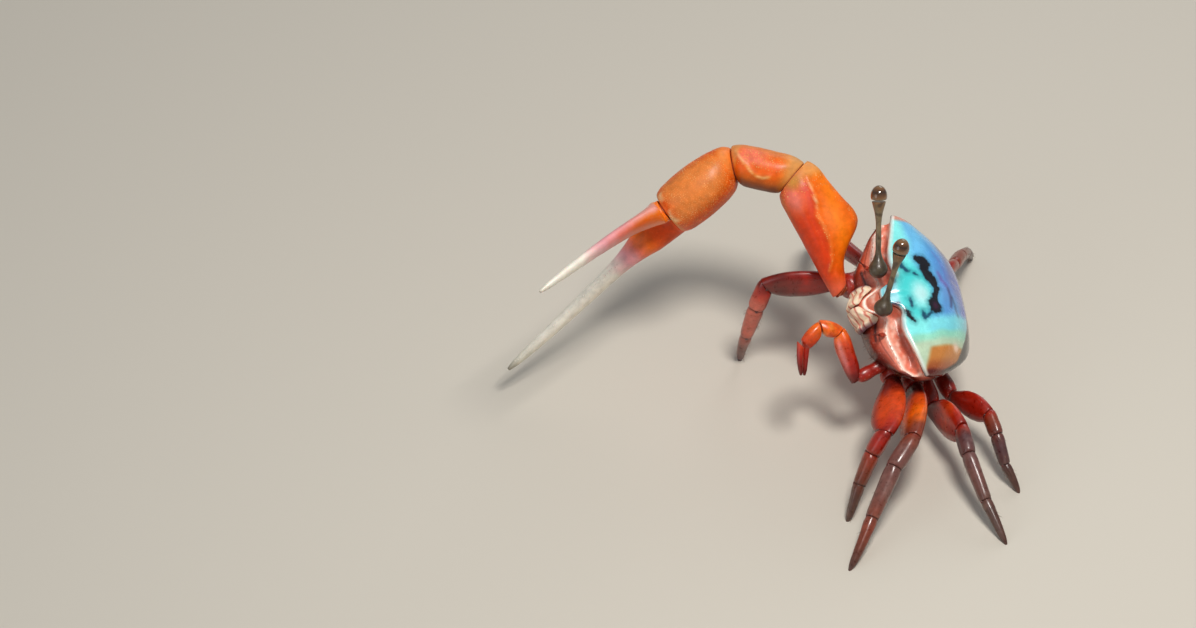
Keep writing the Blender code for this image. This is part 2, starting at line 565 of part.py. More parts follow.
def minor_claw():
    joints = [np.array(p) for p in (MINOR_BASE, MINOR_ELBOW, MINOR_WRIST, MINOR_PALM_END, MINOR_TIP)]
    base, elbow, wrist, palm_end, tip = joints
    raised = np.array((-0.6, 0.5, 0.6))
    stations = {
        "merus": [(0, 0.8, 0.8, 0.8, 0.8, 0), (0.1, 0.95, 0.95, 1.0, 1.0, 0), (0.5, 1.05, 1.05, 1.3, 1.2, 0),
                  (0.88, 1.0, 1.0, 1.25, 1.2, 0), (1, 0.8, 0.8, 1.0, 0.95, 0)],
        "carpus": [(0, 0.75, 0.75, 0.9, 0.85, 0), (0.3, 0.95, 0.95, 1.2, 1.0, 0), (0.75, 0.95, 0.95, 1.2, 1.0, 0),
                   (1, 0.75, 0.75, 0.95, 0.85, 0)],
    }
    planes = [base_plane("minor", base, elbow), between(base, elbow, wrist), between(elbow, wrist, palm_end)]
    for i, part in enumerate(("merus", "carpus")):
        rings = limb_rings(joints[i], joints[i + 1], raised, stations[part], planes[i], planes[i + 1])
        loft("minor_" + part, rings, "limb_red")
    hand = unit(palm_end - wrist)
    raised = np.array((-0.8, -0.5, 0.3))
    up = unit(raised - hand * (raised @ hand))
    side = np.cross(hand, up)
    palm = [(0, 0.7, 0.7, 0.85, 0.8, 0), (0.2, 0.85, 0.85, 1.1, 1.0, 0), (0.7, 0.85, 0.85, 1.2, 1.15, 0),
            (1, 0.7, 0.7, 1.0, 1.1, 0)]
    rings = limb_rings(wrist, palm_end, up, palm, planes[2], hand, (GAP / 2, 0))
    along = unit(tip - palm_end)
    rise = unit(up - along * (up @ along))
    across = np.cross(along, rise)
    root = palm_end + hand * 0.3 - up * 0.66
    end = tip - rise * 0.45
    for share, size in ((0.0, 0.52), (0.3, 0.45), (0.65, 0.38), (0.9, 0.28), (1.0, 0.14)):
        centre = root + (end - root) * share
        rings.append([centre + across * x + rise * y for x, y in section(12, (size, size, size, size))])
    loft("minor_palm", rings, "limb_red")
    root = palm_end + hand * 0.36 + up * 0.84
    end = tip + rise * 0.35
    finger = [(0, 0.5, 0.5, 0.5, 0.38, 0), (0.3, 0.45, 0.45, 0.45, 0.38, 0.18), (0.65, 0.38, 0.38, 0.38, 0.34, 0.18),
              (0.9, 0.27, 0.27, 0.28, 0.25, 0), (1, 0.14, 0.14, 0.14, 0.14, 0)]
    loft("minor_finger", limb_rings(root, end, rise, finger, hand, unit(end - root), (GAP / 2, 0)), "limb_red")


def place_on_floor():
    """Moves everything together: middle of the box at X = Y = 0, feet at Z = 0."""
    parts = [o for o in bpy.context.scene.objects if o.type == "MESH"]
    points = np.array([tuple(v.co) for o in parts for v in o.data.vertices])
    low, high = points.min(axis=0), points.max(axis=0)
    shift = Vector((-(low[0] + high[0]) / 2, -(low[1] + high[1]) / 2, 0))
    for part in parts:
        part.location = shift
    print("size mm", [round(float(d) * 1000, 2) for d in high - low])
    print("shift mm", [round(d * 1000, 2) for d in shift])


for thing in list(bpy.data.objects):
    bpy.data.objects.remove(thing)

carapace()
body()
abdomen()
for name, sign in (("left", 1), ("right", -1)):
    maxilliped("maxilliped_" + name, sign)
    antenna(name, sign)
    eye(name)
major_claw()
minor_claw()
for name in LEGS:
    leg(name)
place_on_floor()
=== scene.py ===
import json
import math
import random

import bmesh
import bpy
import numpy as np
from mathutils import Matrix, Vector, noise

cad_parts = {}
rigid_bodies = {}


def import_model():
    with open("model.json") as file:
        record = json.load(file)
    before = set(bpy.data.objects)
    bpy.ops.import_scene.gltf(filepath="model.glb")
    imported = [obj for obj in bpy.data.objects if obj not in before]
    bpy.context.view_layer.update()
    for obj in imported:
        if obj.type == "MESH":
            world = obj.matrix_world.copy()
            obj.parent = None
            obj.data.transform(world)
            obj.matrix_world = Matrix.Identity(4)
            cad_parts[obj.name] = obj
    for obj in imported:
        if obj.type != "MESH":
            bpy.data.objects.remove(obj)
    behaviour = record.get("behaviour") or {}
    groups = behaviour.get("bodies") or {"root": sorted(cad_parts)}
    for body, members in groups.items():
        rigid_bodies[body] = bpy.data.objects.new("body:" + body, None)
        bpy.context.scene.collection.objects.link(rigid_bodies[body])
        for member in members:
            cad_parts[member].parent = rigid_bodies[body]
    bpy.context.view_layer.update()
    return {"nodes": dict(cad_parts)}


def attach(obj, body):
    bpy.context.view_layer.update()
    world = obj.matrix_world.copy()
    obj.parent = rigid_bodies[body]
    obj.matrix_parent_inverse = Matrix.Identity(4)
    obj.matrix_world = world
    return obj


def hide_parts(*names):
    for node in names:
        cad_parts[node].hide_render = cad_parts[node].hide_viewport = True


for thing in list(bpy.data.objects):
    bpy.data.objects.remove(thing)
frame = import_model()
print("frame loaded:", len(frame["nodes"]), "nodes")

# Lengths below are in millimetres in the crab's own coordinates; floorShift takes them to the frame.
mm = 0.001
floorShift = np.array((20.47, -2.14, 0.0))
carapaceWidth = 25.0
seam = 0.15  # half of the gap between two solids
bodyInset, bodyLip = 0.018, 0.012  # body inside the shell's edge and lip of the eye socket, as shares
fit = 0.05  # half of the gap left between two skins
gap = 2 * seam / carapaceWidth  # the gap between two solids, as a share of the shell's width

stance = {
    "bodyCentre": (-0.3, 0.55, 21.5), "forward": (-0.691, -0.434, 0.578), "left": (0.191, -0.881, -0.433),
    "majorBase": (-9.4, 5.7, 18.0), "majorElbow": (-16.3, 16.1, 29.6), "majorWrist": (-24.4, 18.2, 30.2),
    "majorPalmEnd": (-33.6, 15.0, 24.1), "pollexBase": (-36.6, 14.9, 19.6), "pollexTip": (-56.6, 2.9, 5.0),
    "fingerTip": (-52.0, -8.2, 29.8), "palmRoll": 10, "fingerRise": 3.2, "fingerArch": 2.2,
    "minorBase": (-7.4, -6.4, 11.6), "minorElbow": (-9.8, -2.6, 17.0), "minorWrist": (-12.4, -2.8, 18.2),
    "minorPalmEnd": (-14.6, -4.6, 16.6), "minorTip": (-15.0, -7.4, 13.2),
}

# Each walking leg: coxa on the body, scale, the thigh's width, height and twist in degrees, then hip, knee,
# wrist, ankle and foot.
legPlan = {
    "left_1": {"coxa": (-0.13, 0.26, -0.35), "scale": 1.06, "thigh": (1.0, 1.0, -36),
               "joints": ((-2.2, -5.7, 10.7), (-3.5, -16.4, 10.4), (-5.2, -17.8, 7.8), (-7.0, -20.6, 4.5),
                          (-8.6, -23.2, 0.0))},
    "left_2": {"coxa": (-0.25, 0.28, -0.33), "scale": 1.1, "thigh": (1.0, 1.0, 0),
               "joints": ((1.0, -5.2, 8.7), (0.4, -17.2, 10.1), (-2.2, -21.4, 8.4), (-5.3, -27.0, 4.0),
                          (-8.3, -33.1, 0.0))},
    "left_3": {"coxa": (-0.37, 0.25, -0.32), "scale": 0.98, "thigh": (1.0, 1.16, 0),
               "joints": ((3.5, -5.2, 4.9), (7.5, -13.2, 8.0), (8.4, -17.0, 6.8), (10.8, -22.8, 3.4),
                          (13.4, -27.8, 0.0))},
    "left_4": {"coxa": (-0.45, 0.20, -0.30), "scale": 0.82, "thigh": (1.0, 0.95, 0),
               "joints": ((6.4, -2.9, 5.2), (11.4, -8.6, 6.8), (12.5, -11.5, 5.5), (13.7, -14.6, 2.7),
                          (15.5, -17.3, 0.0))},
    "right_1": {"coxa": (-0.13, -0.26, -0.35), "scale": 0.92, "thigh": (1.0, 1.0, 0),
                "joints": ((-8.5, 9.3, 16.1), (-19.9, 9.3, 15.2), (-21.3, 8.8, 11.5), (-22.7, 9.2, 5.9),
                           (-23.6, 10.5, 0.0))},
    "right_2": {"coxa": (-0.25, -0.28, -0.33), "scale": 1.0, "thigh": (1.0, 1.0, 0),
                "joints": ((-4.9, 13.6, 14.7), (-11.6, 23.2, 13.0), (-12.2, 27.4, 10.4), (-12.4, 31.2, 5.4),
                           (-12.0, 33.3, 0.0))},
    "right_3": {"coxa": (-0.37, -0.26, -0.31), "scale": 1.0, "thigh": (1.0, 1.0, 0),
                "joints": ((-0.4, 14.8, 12.5), (0.0, 24.8, 8.8), (0.2, 29.0, 6.9), (0.4, 34.0, 3.9),
                           (0.5, 37.6, 0.0))},
    "right_4": {"coxa": (-0.47, -0.20, -0.28), "scale": 0.84, "thigh": (1.0, 1.0, 0),
                "joints": ((3.3, 14.0, 11.1), (6.9, 21.3, 8.3), (7.9, 25.1, 6.6), (9.0, 29.4, 3.6),
                           (9.8, 32.2, 0.0))},
}
chelipedCoxa = {"major": (-0.02, -0.22, -0.34), "minor": (-0.036, 0.30, -0.325)}

# The paint box, as the colours look in daylight.
paints = {
    "cyan": "#8AF4F2", "sky": "#6CC2F2", "deepBlue": "#4C96E0", "violet": "#6E7CC8", "slate": "#5A6890",
    "turquoise": "#46DADA", "iceBlue": "#CFFBFB", "seaGreen": "#9ADFC0", "paleSage": "#C6D8B8",
    "ink": "#0C0B16", "wine": "#3A1430", "teal": "#124E68", "magenta": "#7E4796", "rimWhite": "#E2ECE6",
    "amber": "#D0843C", "rust": "#96401A", "oxblood": "#5A1206", "paintedShade": "#141318", "lobeBlue": "#98E8F4",
    "coral": "#E5795E", "blush": "#FBDCCB", "salmon": "#EE947A", "brick": "#A83A22", "mud": "#3C2A20",
    "orange": "#EE6604", "hotOrange": "#FF7E00", "redOrange": "#D83A00", "ochre": "#B86408",
    "rosePink": "#EE7660", "sand": "#DC9A58", "clawShade": "#6C360E", "moss": "#A89430", "paleSeam": "#F6D09A",
    "cream": "#F6EFDF", "petal": "#E9A0A6", "stone": "#8E8878", "bone": "#DCD6C4",
    "crimson": "#A01A06", "maroon": "#5E0E04", "flame": "#CE4414", "chestnut": "#84361F",
    "mauve": "#72463E", "plum": "#573638", "umber": "#53342A", "pinkShin": "#C4604C",
    "olive": "#766448", "darkOlive": "#4C402E", "hazel": "#7A5230", "pupil": "#3A2414",
    "ivory": "#F4DCB8", "lipPink": "#EA8A72", "lipRed": "#B4402E", "hinge": "#C98A66", "hair": "#6E4A2E",
    "palmTop": "#E27E36", "palmMid": "#EA5E04", "palmShade": "#BE5606", "elbowTan": "#DEA05A",
    "ridge": "#F68A3A",
    "paintedHighlight": "#FFF0E2", "granule": "#EE9A50",
}


def unit(v):
    v = np.asarray(v, float)
    return v / np.linalg.norm(v)


def place(name):
    return np.array(stance[name], float)


bodyCentre = place("bodyCentre")
forwardAxis = unit(place("forward"))
leftAxis = unit(place("left") - forwardAxis * (place("left") @ forwardAxis))
backAxis = np.cross(forwardAxis, leftAxis)
bodyAxes = np.array((forwardAxis, leftAxis, backAxis))


def onBody(forward, left, back):
    # Points given as shares of the shell's width: forward, left and up from the middle of the body.
    shares = np.stack(np.broadcast_arrays(forward, left, back), axis=-1)
    return bodyCentre + carapaceWidth * (shares @ bodyAxes)


def bodyShares(points):
    return ((points - bodyCentre) @ bodyAxes.T / carapaceWidth).T


def bridge(t, a, b, leaveA, reachB):
    # From a to b as t goes from 0 to 1, leaving and arriving at these slopes.
    return ((2 * t**3 - 3 * t**2 + 1) * a + (t**3 - 2 * t**2 + t) * leaveA
            + (3 * t**2 - 2 * t**3) * b + (t**3 - t**2) * reachB)


def curve(points, x):
    # Smooth curve through (x, y) points, level outside them.
    xs, ys = np.array(points, float).T
    slopes = np.gradient(ys, xs)
    x = np.clip(np.asarray(x, float), xs[0], xs[-1])
    i = np.clip(np.searchsorted(xs, x) - 1, 0, len(xs) - 2)
    step = xs[i + 1] - xs[i]
    return bridge((x - xs[i]) / step, ys[i], ys[i + 1], step * slopes[i], step * slopes[i + 1])


def ease(low, high, x):
    t = np.clip((np.asarray(x, float) - low) / (high - low), 0, 1)
    return t * t * (3 - 2 * t)


# Modelling helpers.


def clearSelection():
    if bpy.context.object and bpy.context.object.mode != "OBJECT":
        bpy.ops.object.mode_set(mode="OBJECT")
    bpy.ops.object.select_all(action="DESELECT")


def closeShape(piece, name):
    # Ends the shaping of a piece: normals outward, smooth, named, and the numbers of its points gone.
    bmesh.update_edit_mesh(piece.data)
    bpy.ops.mesh.select_all(action="SELECT")
    bpy.ops.mesh.normals_make_consistent(inside=False)
    bpy.ops.object.mode_set(mode="OBJECT")
    bpy.ops.object.shade_smooth()
    piece.data.attributes.remove(piece.data.attributes["spot"])
    piece.name = piece.data.name = name


def growPiece(name, rings):
    # A disc at the first ring is extruded from ring to ring and shaped to each.
    clearSelection()
    rings = [(np.asarray(ring) + floorShift) * mm for ring in rings]
    at = rings[0].mean(axis=0)
    bpy.ops.mesh.primitive_circle_add(vertices=len(rings[0]), radius=mm, fill_type="NGON", location=at)
    bpy.ops.object.transform_apply(location=True, rotation=True, scale=True)
    piece = bpy.context.object
    bpy.ops.object.mode_set(mode="EDIT")
    shape = bmesh.from_edit_mesh(piece.data)
    spot = shape.verts.layers.int.new("spot")
    for i, vertex in enumerate(shape.verts):
        vertex[spot] = i
        vertex.co = rings[0][i]
    for ring in rings[1:]:
        step, at = ring.mean(axis=0) - at, ring.mean(axis=0)
        bpy.ops.mesh.extrude_region_move(TRANSFORM_OT_translate={"value": tuple(step)})
        shape = bmesh.from_edit_mesh(piece.data)
        spot = shape.verts.layers.int["spot"]
        for vertex in shape.verts:
            if vertex.select:
                vertex.co = ring[vertex[spot]]
    closeShape(piece, name)
    softer = piece.modifiers.new("soften", "SUBSURF")
    softer.levels = softer.render_levels = 1
    bpy.ops.object.modifier_apply(modifier="soften")
    return piece


def joinPieces(name, parts):
    clearSelection()
    for part in parts:
        part.select_set(True)
    bpy.context.view_layer.objects.active = parts[0]
    if len(parts) > 1:
        bpy.ops.object.join()
    parts[0].name = parts[0].data.name = name
    return parts[0]


def scatterCopies(name, model, places):
    # Copies of a small model, each a mesh of its own with its place in it, joined into one piece.
    copies = []
    for matrix in places:
        mesh = model.data.copy()
        mesh.transform(matrix)
        copy = bpy.data.objects.new(name, mesh)
        bpy.context.scene.collection.objects.link(copy)
        copies.append(copy)
    bpy.data.objects.remove(model)
    return joinPieces(name, copies)


def pointsOf(piece):
    flat = np.empty(len(piece.data.vertices) * 3)
    piece.data.vertices.foreach_get("co", flat)
    return flat.reshape(-1, 3) / mm - floorShift


def normalsOf(piece):
    flat = np.empty(len(piece.data.vertices) * 3)
    piece.data.vertex_normals.foreach_get("vector", flat)
    return flat.reshape(-1, 3)


def movePoints(piece, points):
    piece.data.vertices.foreach_set("co", ((points + floorShift) * mm).ravel())
    piece.data.update()


def ripple(points, size, seed=0):
    # Soft noise from -1 to 1 at each point, its bumps about size millimetres wide.
    offset = Vector((seed * 7.3, seed * 3.1, seed * 5.7))
    return np.array([noise.noise(Vector(p) / size + offset) for p in points])


def drift(points, size, seed=0):
    return 0.5 + 0.5 * ripple(points, size, seed)


# Painting helpers. Colours are mixed as seen and turned to light values last.


def paint(name):
    code = paints[name]
    return np.array([int(code[i:i + 2], 16) / 255 for i in (1, 3, 5)])


def ramp(value, stops):
    positions, names = zip(*stops)
    colours = np.array([paint(name) for name in names])
    return np.stack([np.interp(value, positions, colours[:, k]) for k in range(3)], axis=-1)


def brush(colours, amount, name):
    amount = np.clip(amount, 0, 1)[:, None]
    return colours * (1 - amount) + paint(name) * amount


def coats(colours, *layers):
    # Layers are (amount, paint) pairs, laid on in this order.
    for amount, name in layers:
        colours = brush(colours, amount, name)
    return colours


def strokeReach(across, along, path, width):
    # Depth inside a line through (x, y, width factor) points, below 0 outside it.
    best = np.full(np.shape(across), -1e9)
    spots = np.stack((across, along), axis=-1)
    for a, b in zip(path[:-1], path[1:]):
        start, end = np.array(a[:2]), np.array(b[:2])
        line = end - start
        t = np.clip((spots - start) @ line / (line @ line), 0, 1)
        reach = np.linalg.norm(spots - start - t[..., None] * line, axis=-1)
        best = np.maximum(best, (a[2] * (1 - t) + b[2] * t) * width - reach)
    return best


def strokeMask(across, along, path, width, soft):
    # 1 on the line, falling to 0 over soft.
    return ease(-soft / 2, soft / 2, strokeReach(across, along, path, width))


def blobMask(across, along, centre, sizes, soft):
    reach = np.hypot((across - centre[0]) / sizes[0], (along - centre[1]) / sizes[1])
    return 1 - ease(1 - soft, 1 + soft, reach)


def applyPaint(piece, colours, layerName="tint"):
    linear = np.where(colours <= 0.04045, colours / 12.92, ((colours + 0.055) / 1.055) ** 2.4)
    layer = piece.data.color_attributes.new(layerName, "FLOAT_COLOR", "POINT")
    layer.data.foreach_set("color", np.column_stack((linear, np.ones(len(linear)))).ravel())


def applyMarks(piece, edge, colours):
    # Painted marks: depth inside the nearest mark in mm, and its colour.
    layer = piece.data.attributes.new("markEdge", "FLOAT", "POINT")
    layer.data.foreach_set("value", edge)
    applyPaint(piece, colours, "markTint")


# Finishes. A size is in millimetres, a depth in hundredths of a millimetre. The outline of the shell's
# painted marks is inkEdge.
finishColumns = ("rough", "mottle", "mottleSize", "speck", "speckAmount", "speckSize", "bumpSize",
                 "bumpDepth", "coat", "coatRough", "glow")
finishes = {
    "shellGloss": ((0.16, 0.34), 0.1, 1.6, "ink", 0.1, 0.35, 0.22, 0.5, 0.6, 0.12, 0.0),
    "clawSatin": ((0.34, 0.52), 0.16, 1.1, "granule", 0.18, 0.36, 0.3, 1.6, 0.1, 0.25, 0.02),
    "fingerPolish": ((0.28, 0.42), 0.08, 1.4, "petal", 0.12, 0.5, 0.25, 0.7, 0.2, 0.22, 0.12),
    "bodySatin": ((0.26, 0.46), 0.18, 0.9, "blush", 0.25, 0.4, 0.25, 1.2, 0.3, 0.2, 0.05),
    "legGloss": ((0.24, 0.42), 0.24, 0.8, "umber", 0.35, 0.32, 0.22, 1.2, 0.35, 0.18, 0.03),
    "stalkSkin": ((0.3, 0.5), 0.25, 0.5, "darkOlive", 0.5, 0.25, 0.16, 0.8, 0.3, 0.2, 0.0),
    "corneaLens": ((0.05, 0.1), 0.12, 0.5, "pupil", 0.3, 0.12, 0.07, 0.12, 1.0, 0.03, 0.0),
    "mouthSatin": ((0.36, 0.55), 0.12, 0.6, "lipPink", 0.25, 0.3, 0.2, 0.9, 0.15, 0.3, 0.06),
    "hingeSkin": ((0.45, 0.65), 0.2, 0.5, "hinge", 0.2, 0.2, 0.15, 1.5, 0.0, 0.3, 0.05),
}
clawShine, shine = 0.3, 0.5
inkEdge = {"size": 0.9, "wander": 0.9, "soft": 0.12, "fringe": 0.6}


# How far red, green and blue light spread under the surface, that depth in mm, and the gamma from a colour as
# seen to a light value.
glowSpread, glowDepth = (1.0, 0.35, 0.2), 0.6
seenToLight = 2.2


def finish(name):
    found = bpy.data.materials.get(name)
    if found:
        return found
    look = dict(zip(finishColumns, finishes[name]))
    material = bpy.data.materials.new(name)
    material.use_nodes = True
    nodes, links = material.node_tree.nodes, material.node_tree.links
    shader = nodes["Principled BSDF"]

    def node(kind, **values):
        made = nodes.new("ShaderNode" + kind)
        for key, value in values.items():
            if hasattr(made, key):
                setattr(made, key, value)
            else:
                made.inputs[key.replace("_", " ")].default_value = value
        return made

    place = node("TexCoord").outputs["Object"]
    tint = node("Attribute", attribute_name="tint").outputs["Color"]

    clouds = node("TexNoise", Scale=1 / (look["mottleSize"] * mm), Detail=4.0, Roughness=0.6)
    links.new(place, clouds.inputs["Vector"])
    spread = node("MapRange", From_Min=0.3, From_Max=0.7, To_Min=1 - look["mottle"],
                  To_Max=1 + look["mottle"])
    links.new(clouds.outputs["Fac"], spread.inputs["Value"])
    shade = node("HueSaturation")
    links.new(tint, shade.inputs["Color"])
    links.new(spread.outputs["Result"], shade.inputs["Value"])

    skin = shade.outputs["Color"]
    if name == "shellGloss":
        # The marks' outline wanders with a noise; a teal fringe runs round it.
        marks = inkEdge
        wander = node("TexNoise", Scale=1 / (marks["size"] * mm), Detail=2.5, Roughness=0.5)
        links.new(place, wander.inputs["Vector"])
        shift = node("MapRange", From_Min=0.0, From_Max=1.0, To_Min=-marks["wander"] / 2,
                     To_Max=marks["wander"] / 2)
        links.new(wander.outputs["Fac"], shift.inputs["Value"])
        depth = node("Math", operation="ADD")
        links.new(node("Attribute", attribute_name="markEdge").outputs["Fac"], depth.inputs[0])
        links.new(shift.outputs["Result"], depth.inputs[1])
        markTint = node("Attribute", attribute_name="markTint").outputs["Color"]
        for start, end, most in ((-marks["fringe"], 0.0, 0.5), (-marks["soft"], marks["soft"], 1.0)):
            inside = node("MapRange", From_Min=start, From_Max=end, To_Min=0.0, To_Max=most)
            links.new(depth.outputs[0], inside.inputs["Value"])
            layer = node("Mix", data_type="RGBA")
            links.new(inside.outputs["Result"], layer.inputs["Factor"])
            links.new(skin, layer.inputs[6])
            if most < 1:
                layer.inputs[7].default_value = (*(paint("teal") ** seenToLight), 1)
            else:
                links.new(markTint, layer.inputs[7])
            skin = layer.outputs[2]

    specks = node("TexVoronoi", Scale=1 / (look["speckSize"] * mm))
    links.new(place, specks.inputs["Vector"])
    dots = node("MapRange", From_Min=0.32, From_Max=0.12, To_Min=0.0, To_Max=look["speckAmount"])
    links.new(specks.outputs["Distance"], dots.inputs["Value"])
    patches = node("MapRange", From_Min=0.42, From_Max=0.62, To_Min=0.15, To_Max=1.0)
    links.new(clouds.outputs["Fac"], patches.inputs["Value"])
    both = node("Math", operation="MULTIPLY")
    links.new(dots.outputs["Result"], both.inputs[0])
    links.new(patches.outputs["Result"], both.inputs[1])
    mix = node("Mix", data_type="RGBA")
    links.new(both.outputs[0], mix.inputs["Factor"])
    links.new(skin, mix.inputs[6])
    mix.inputs[7].default_value = (*(paint(look["speck"]) ** seenToLight), 1)
    links.new(mix.outputs[2], shader.inputs["Base Color"])

    grain = node("TexNoise", Scale=1 / (look["bumpSize"] * mm), Detail=3.0, Roughness=0.55)
    links.new(place, grain.inputs["Vector"])
    gloss = node("MapRange", From_Min=0.3, From_Max=0.7, To_Min=look["rough"][0], To_Max=look["rough"][1])
    links.new(clouds.outputs["Fac"], gloss.inputs["Value"])
    links.new(gloss.outputs["Result"], shader.inputs["Roughness"])
    pores = node("Math", operation="MULTIPLY_ADD")
    links.new(dots.outputs["Result"], pores.inputs[0])
    pores.inputs[1].default_value = 0.6
    links.new(grain.outputs["Fac"], pores.inputs[2])
    bump = node("Bump", Strength=0.6, Distance=look["bumpDepth"] * 0.01 * mm)
    links.new(pores.outputs[0], bump.inputs["Height"])
    links.new(bump.outputs["Normal"], shader.inputs["Normal"])

    shader.inputs["Specular IOR Level"].default_value = clawShine if name == "clawSatin" else shine
    shader.inputs["Coat Weight"].default_value = look["coat"]
    shader.inputs["Coat Roughness"].default_value = look["coatRough"]
    shader.inputs["Subsurface Weight"].default_value = look["glow"]
    shader.inputs["Subsurface Radius"].default_value = glowSpread
    shader.inputs["Subsurface Scale"].default_value = glowDepth * mm
    return material


def dress(piece, colours, finishName, nodes):
    applyPaint(piece, colours)
    piece.data.materials.clear()
    piece.data.materials.append(finish(finishName))
    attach(piece, "root")
    if nodes:
        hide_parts(*nodes)
    return piece


# Limbs.


def section(sizes, count, power):
    # Ring of (across, up) reaches: sizes are the reach to +across, -across, +up and -up.
    angle = np.arange(count) * 2 * math.pi / count
    x, y = np.cos(angle), np.sin(angle)
    x = np.sign(x) * np.abs(x) ** (2 / power)
    y = np.sign(y) * np.abs(y) ** (2 / power)
    right, left, top, bottom = sizes
    return np.stack((x * np.where(x > 0, right, left), y * np.where(y > 0, top, bottom)), axis=-1)


def evenSizes(*rows):
    # Rows (share, reach to each side, up, down, shift up) as full rows for limbRings.
    return [(share, wide, wide, high, low, *(shift or (0,))) for share, wide, high, low, *shift in rows]


def limbAxes(start, end, top):
    axis = unit(np.subtract(end, start))
    up = unit(np.asarray(top, float) - axis * (np.asarray(top, float) @ axis))
    return axis, up, np.cross(axis, up)


def limbRings(start, end, top, stations, first=None, last=None, gaps=(fit, fit), count=28, power=2.3,
              steps=22,
              relief=None):
    # The planes first and last trim the two ends by the gaps; their slant fades out along the limb.
    start, end = np.asarray(start, float), np.asarray(end, float)
    axis, up, across = limbAxes(start, end, top)
    first = axis if first is None else first
    last = axis if last is None else last
    length = np.linalg.norm(end - start)

    def trims(offsets):
        low = (gaps[0] - offsets @ first) / (first @ axis)
        high = (last @ (end - start) - offsets @ last - gaps[1]) / (last @ axis) - length
        return low, high

    table = np.array(stations, float)
    shares = np.unique(np.concatenate((np.linspace(0, 1, steps), [0.02, 0.98])))
    rows = []
    for share in shares:
        sizes = [float(curve(table[:, (0, k)], share)) for k in range(1, 6)]
        offsets = section(sizes[:4], count, power)
        if relief:
            angle = np.arange(count) * 2 * math.pi / count
            reach = np.linalg.norm(offsets, axis=1)
            offsets = offsets * (1 + relief(share, angle) / reach)[:, None]
        rows.append(offsets[:, :1] * across + (offsets[:, 1:] + sizes[4]) * up)
    slant = max(np.abs(trims(row)).max() for row in rows)
    fade = max(1, min(3, 0.7 * length / slant))
    rings = []
    for share, row in zip(shares, rows):
        low, high = trims(row)
        slide = length * share + low * (1 - share) ** fade + high * share ** fade
        rings.append(start + row + slide[:, None] * axis)
    return rings


def closeEnd(ring, inward, lip=0.12, sink=0.0):
    # Rings that round an end off and close it: the rim first, then its face.
    centre = ring.mean(axis=0)
    size = np.linalg.norm(ring - centre, axis=1).mean()
    edge = centre + (ring - centre) * (1 - lip * 0.35 / size)
    return [edge, centre + (ring - centre) * (1 - lip * 1.6 / size) + inward * sink * 0.5,
            centre + (ring - centre) * 0.45 + inward * sink]


def roundedRings(rings, lip=0.12, sinks=(0.0, 0.0)):
    # Both ends get a rounded rim and a face, dished by its sink.
    startIn = unit(rings[1].mean(axis=0) - rings[0].mean(axis=0))
    endIn = unit(rings[-2].mean(axis=0) - rings[-1].mean(axis=0))
    head = closeEnd(rings[0], startIn, lip, sinks[0])
    tail = closeEnd(rings[-1], endIn, lip, sinks[1])
    first = rings[0] + startIn * lip * 0.6
    final = rings[-1] + endIn * lip * 0.6
    return head[::-1] + [first] + list(rings[1:-1]) + [final] + tail


def between(a, b, c):
    return unit(unit(np.subtract(b, a)) + unit(np.subtract(c, b)))


def basePlane(name, base, elbow):
    return unit(unit(np.subtract(elbow, base)) + 0.6 * unit(np.subtract(base, onBody(*chelipedCoxa[name]))))


def limbShares(points, start, end, top):
    # (share of the length, across in mm, up in mm) of each point.
    axis, up, across = limbAxes(start, end, top)
    offset = points - np.asarray(start, float)
    return offset @ axis / np.linalg.norm(np.subtract(end, start)), offset @ across, offset @ up


def sharesOf(piece, start, end, top):
    points = pointsOf(piece)
    return points, *limbShares(points, start, end, top)


sleeveFolds = 13


def hingeTube(joint, before, after, up, sizes, reach=0.9):
    # A short sleeve of folded skin inside a joint.
    joint, axis = np.asarray(joint, float), unit(unit(before) + unit(after))
    lift = unit(up - axis * (up @ axis))
    across = np.cross(axis, lift)
    rings = []
    for step in np.linspace(-1, 1, sleeveFolds):
        along = unit(before) if step < 0 else unit(after)
        swell = 0.80 + 0.07 * math.cos(step * 3 * math.pi) - 0.10 * abs(step)
        offsets = section(sizes, 22, 2.2) * swell
        rings.append(joint + along * step * reach + offsets[:, :1] * across + offsets[:, 1:] * lift)
    return growPiece("sleeve", rings)


def dressHinges(name, sleeves, dark="maroon"):
    piece = joinPieces(name, sleeves)
    points = pointsOf(piece)
    colours = ramp(drift(points, 0.7, 91), [(0, dark), (0.6, dark), (1, "hinge")])
    dress(piece, colours, "hingeSkin", [])


def endModel(model, name):
    bpy.ops.object.mode_set(mode="OBJECT")
    bpy.ops.object.transform_apply(location=True, rotation=True, scale=True)
    bpy.ops.object.shade_smooth()
    model.name = name
    return model


def dome(name, radius, height, sides=8):
    # A low bead, modelled once: a ball cut below its middle and flattened.
    clearSelection()
    bpy.ops.mesh.primitive_uv_sphere_add(segments=sides, ring_count=6, radius=radius * mm,
                                         location=(0, 0, 0))
    bead = bpy.context.object
    bpy.ops.object.mode_set(mode="EDIT")
    bpy.ops.mesh.select_all(action="SELECT")
    bpy.ops.mesh.bisect(plane_co=(0, 0, -0.35 * radius * mm), plane_no=(0, 0, 1), clear_inner=True,
                        use_fill=True,
                        threshold=1e-8)
    bpy.ops.mesh.select_all(action="SELECT")
    bpy.ops.transform.resize(value=(1, 1, height / radius), center_override=(0, 0, 0))
    return endModel(bead, name)


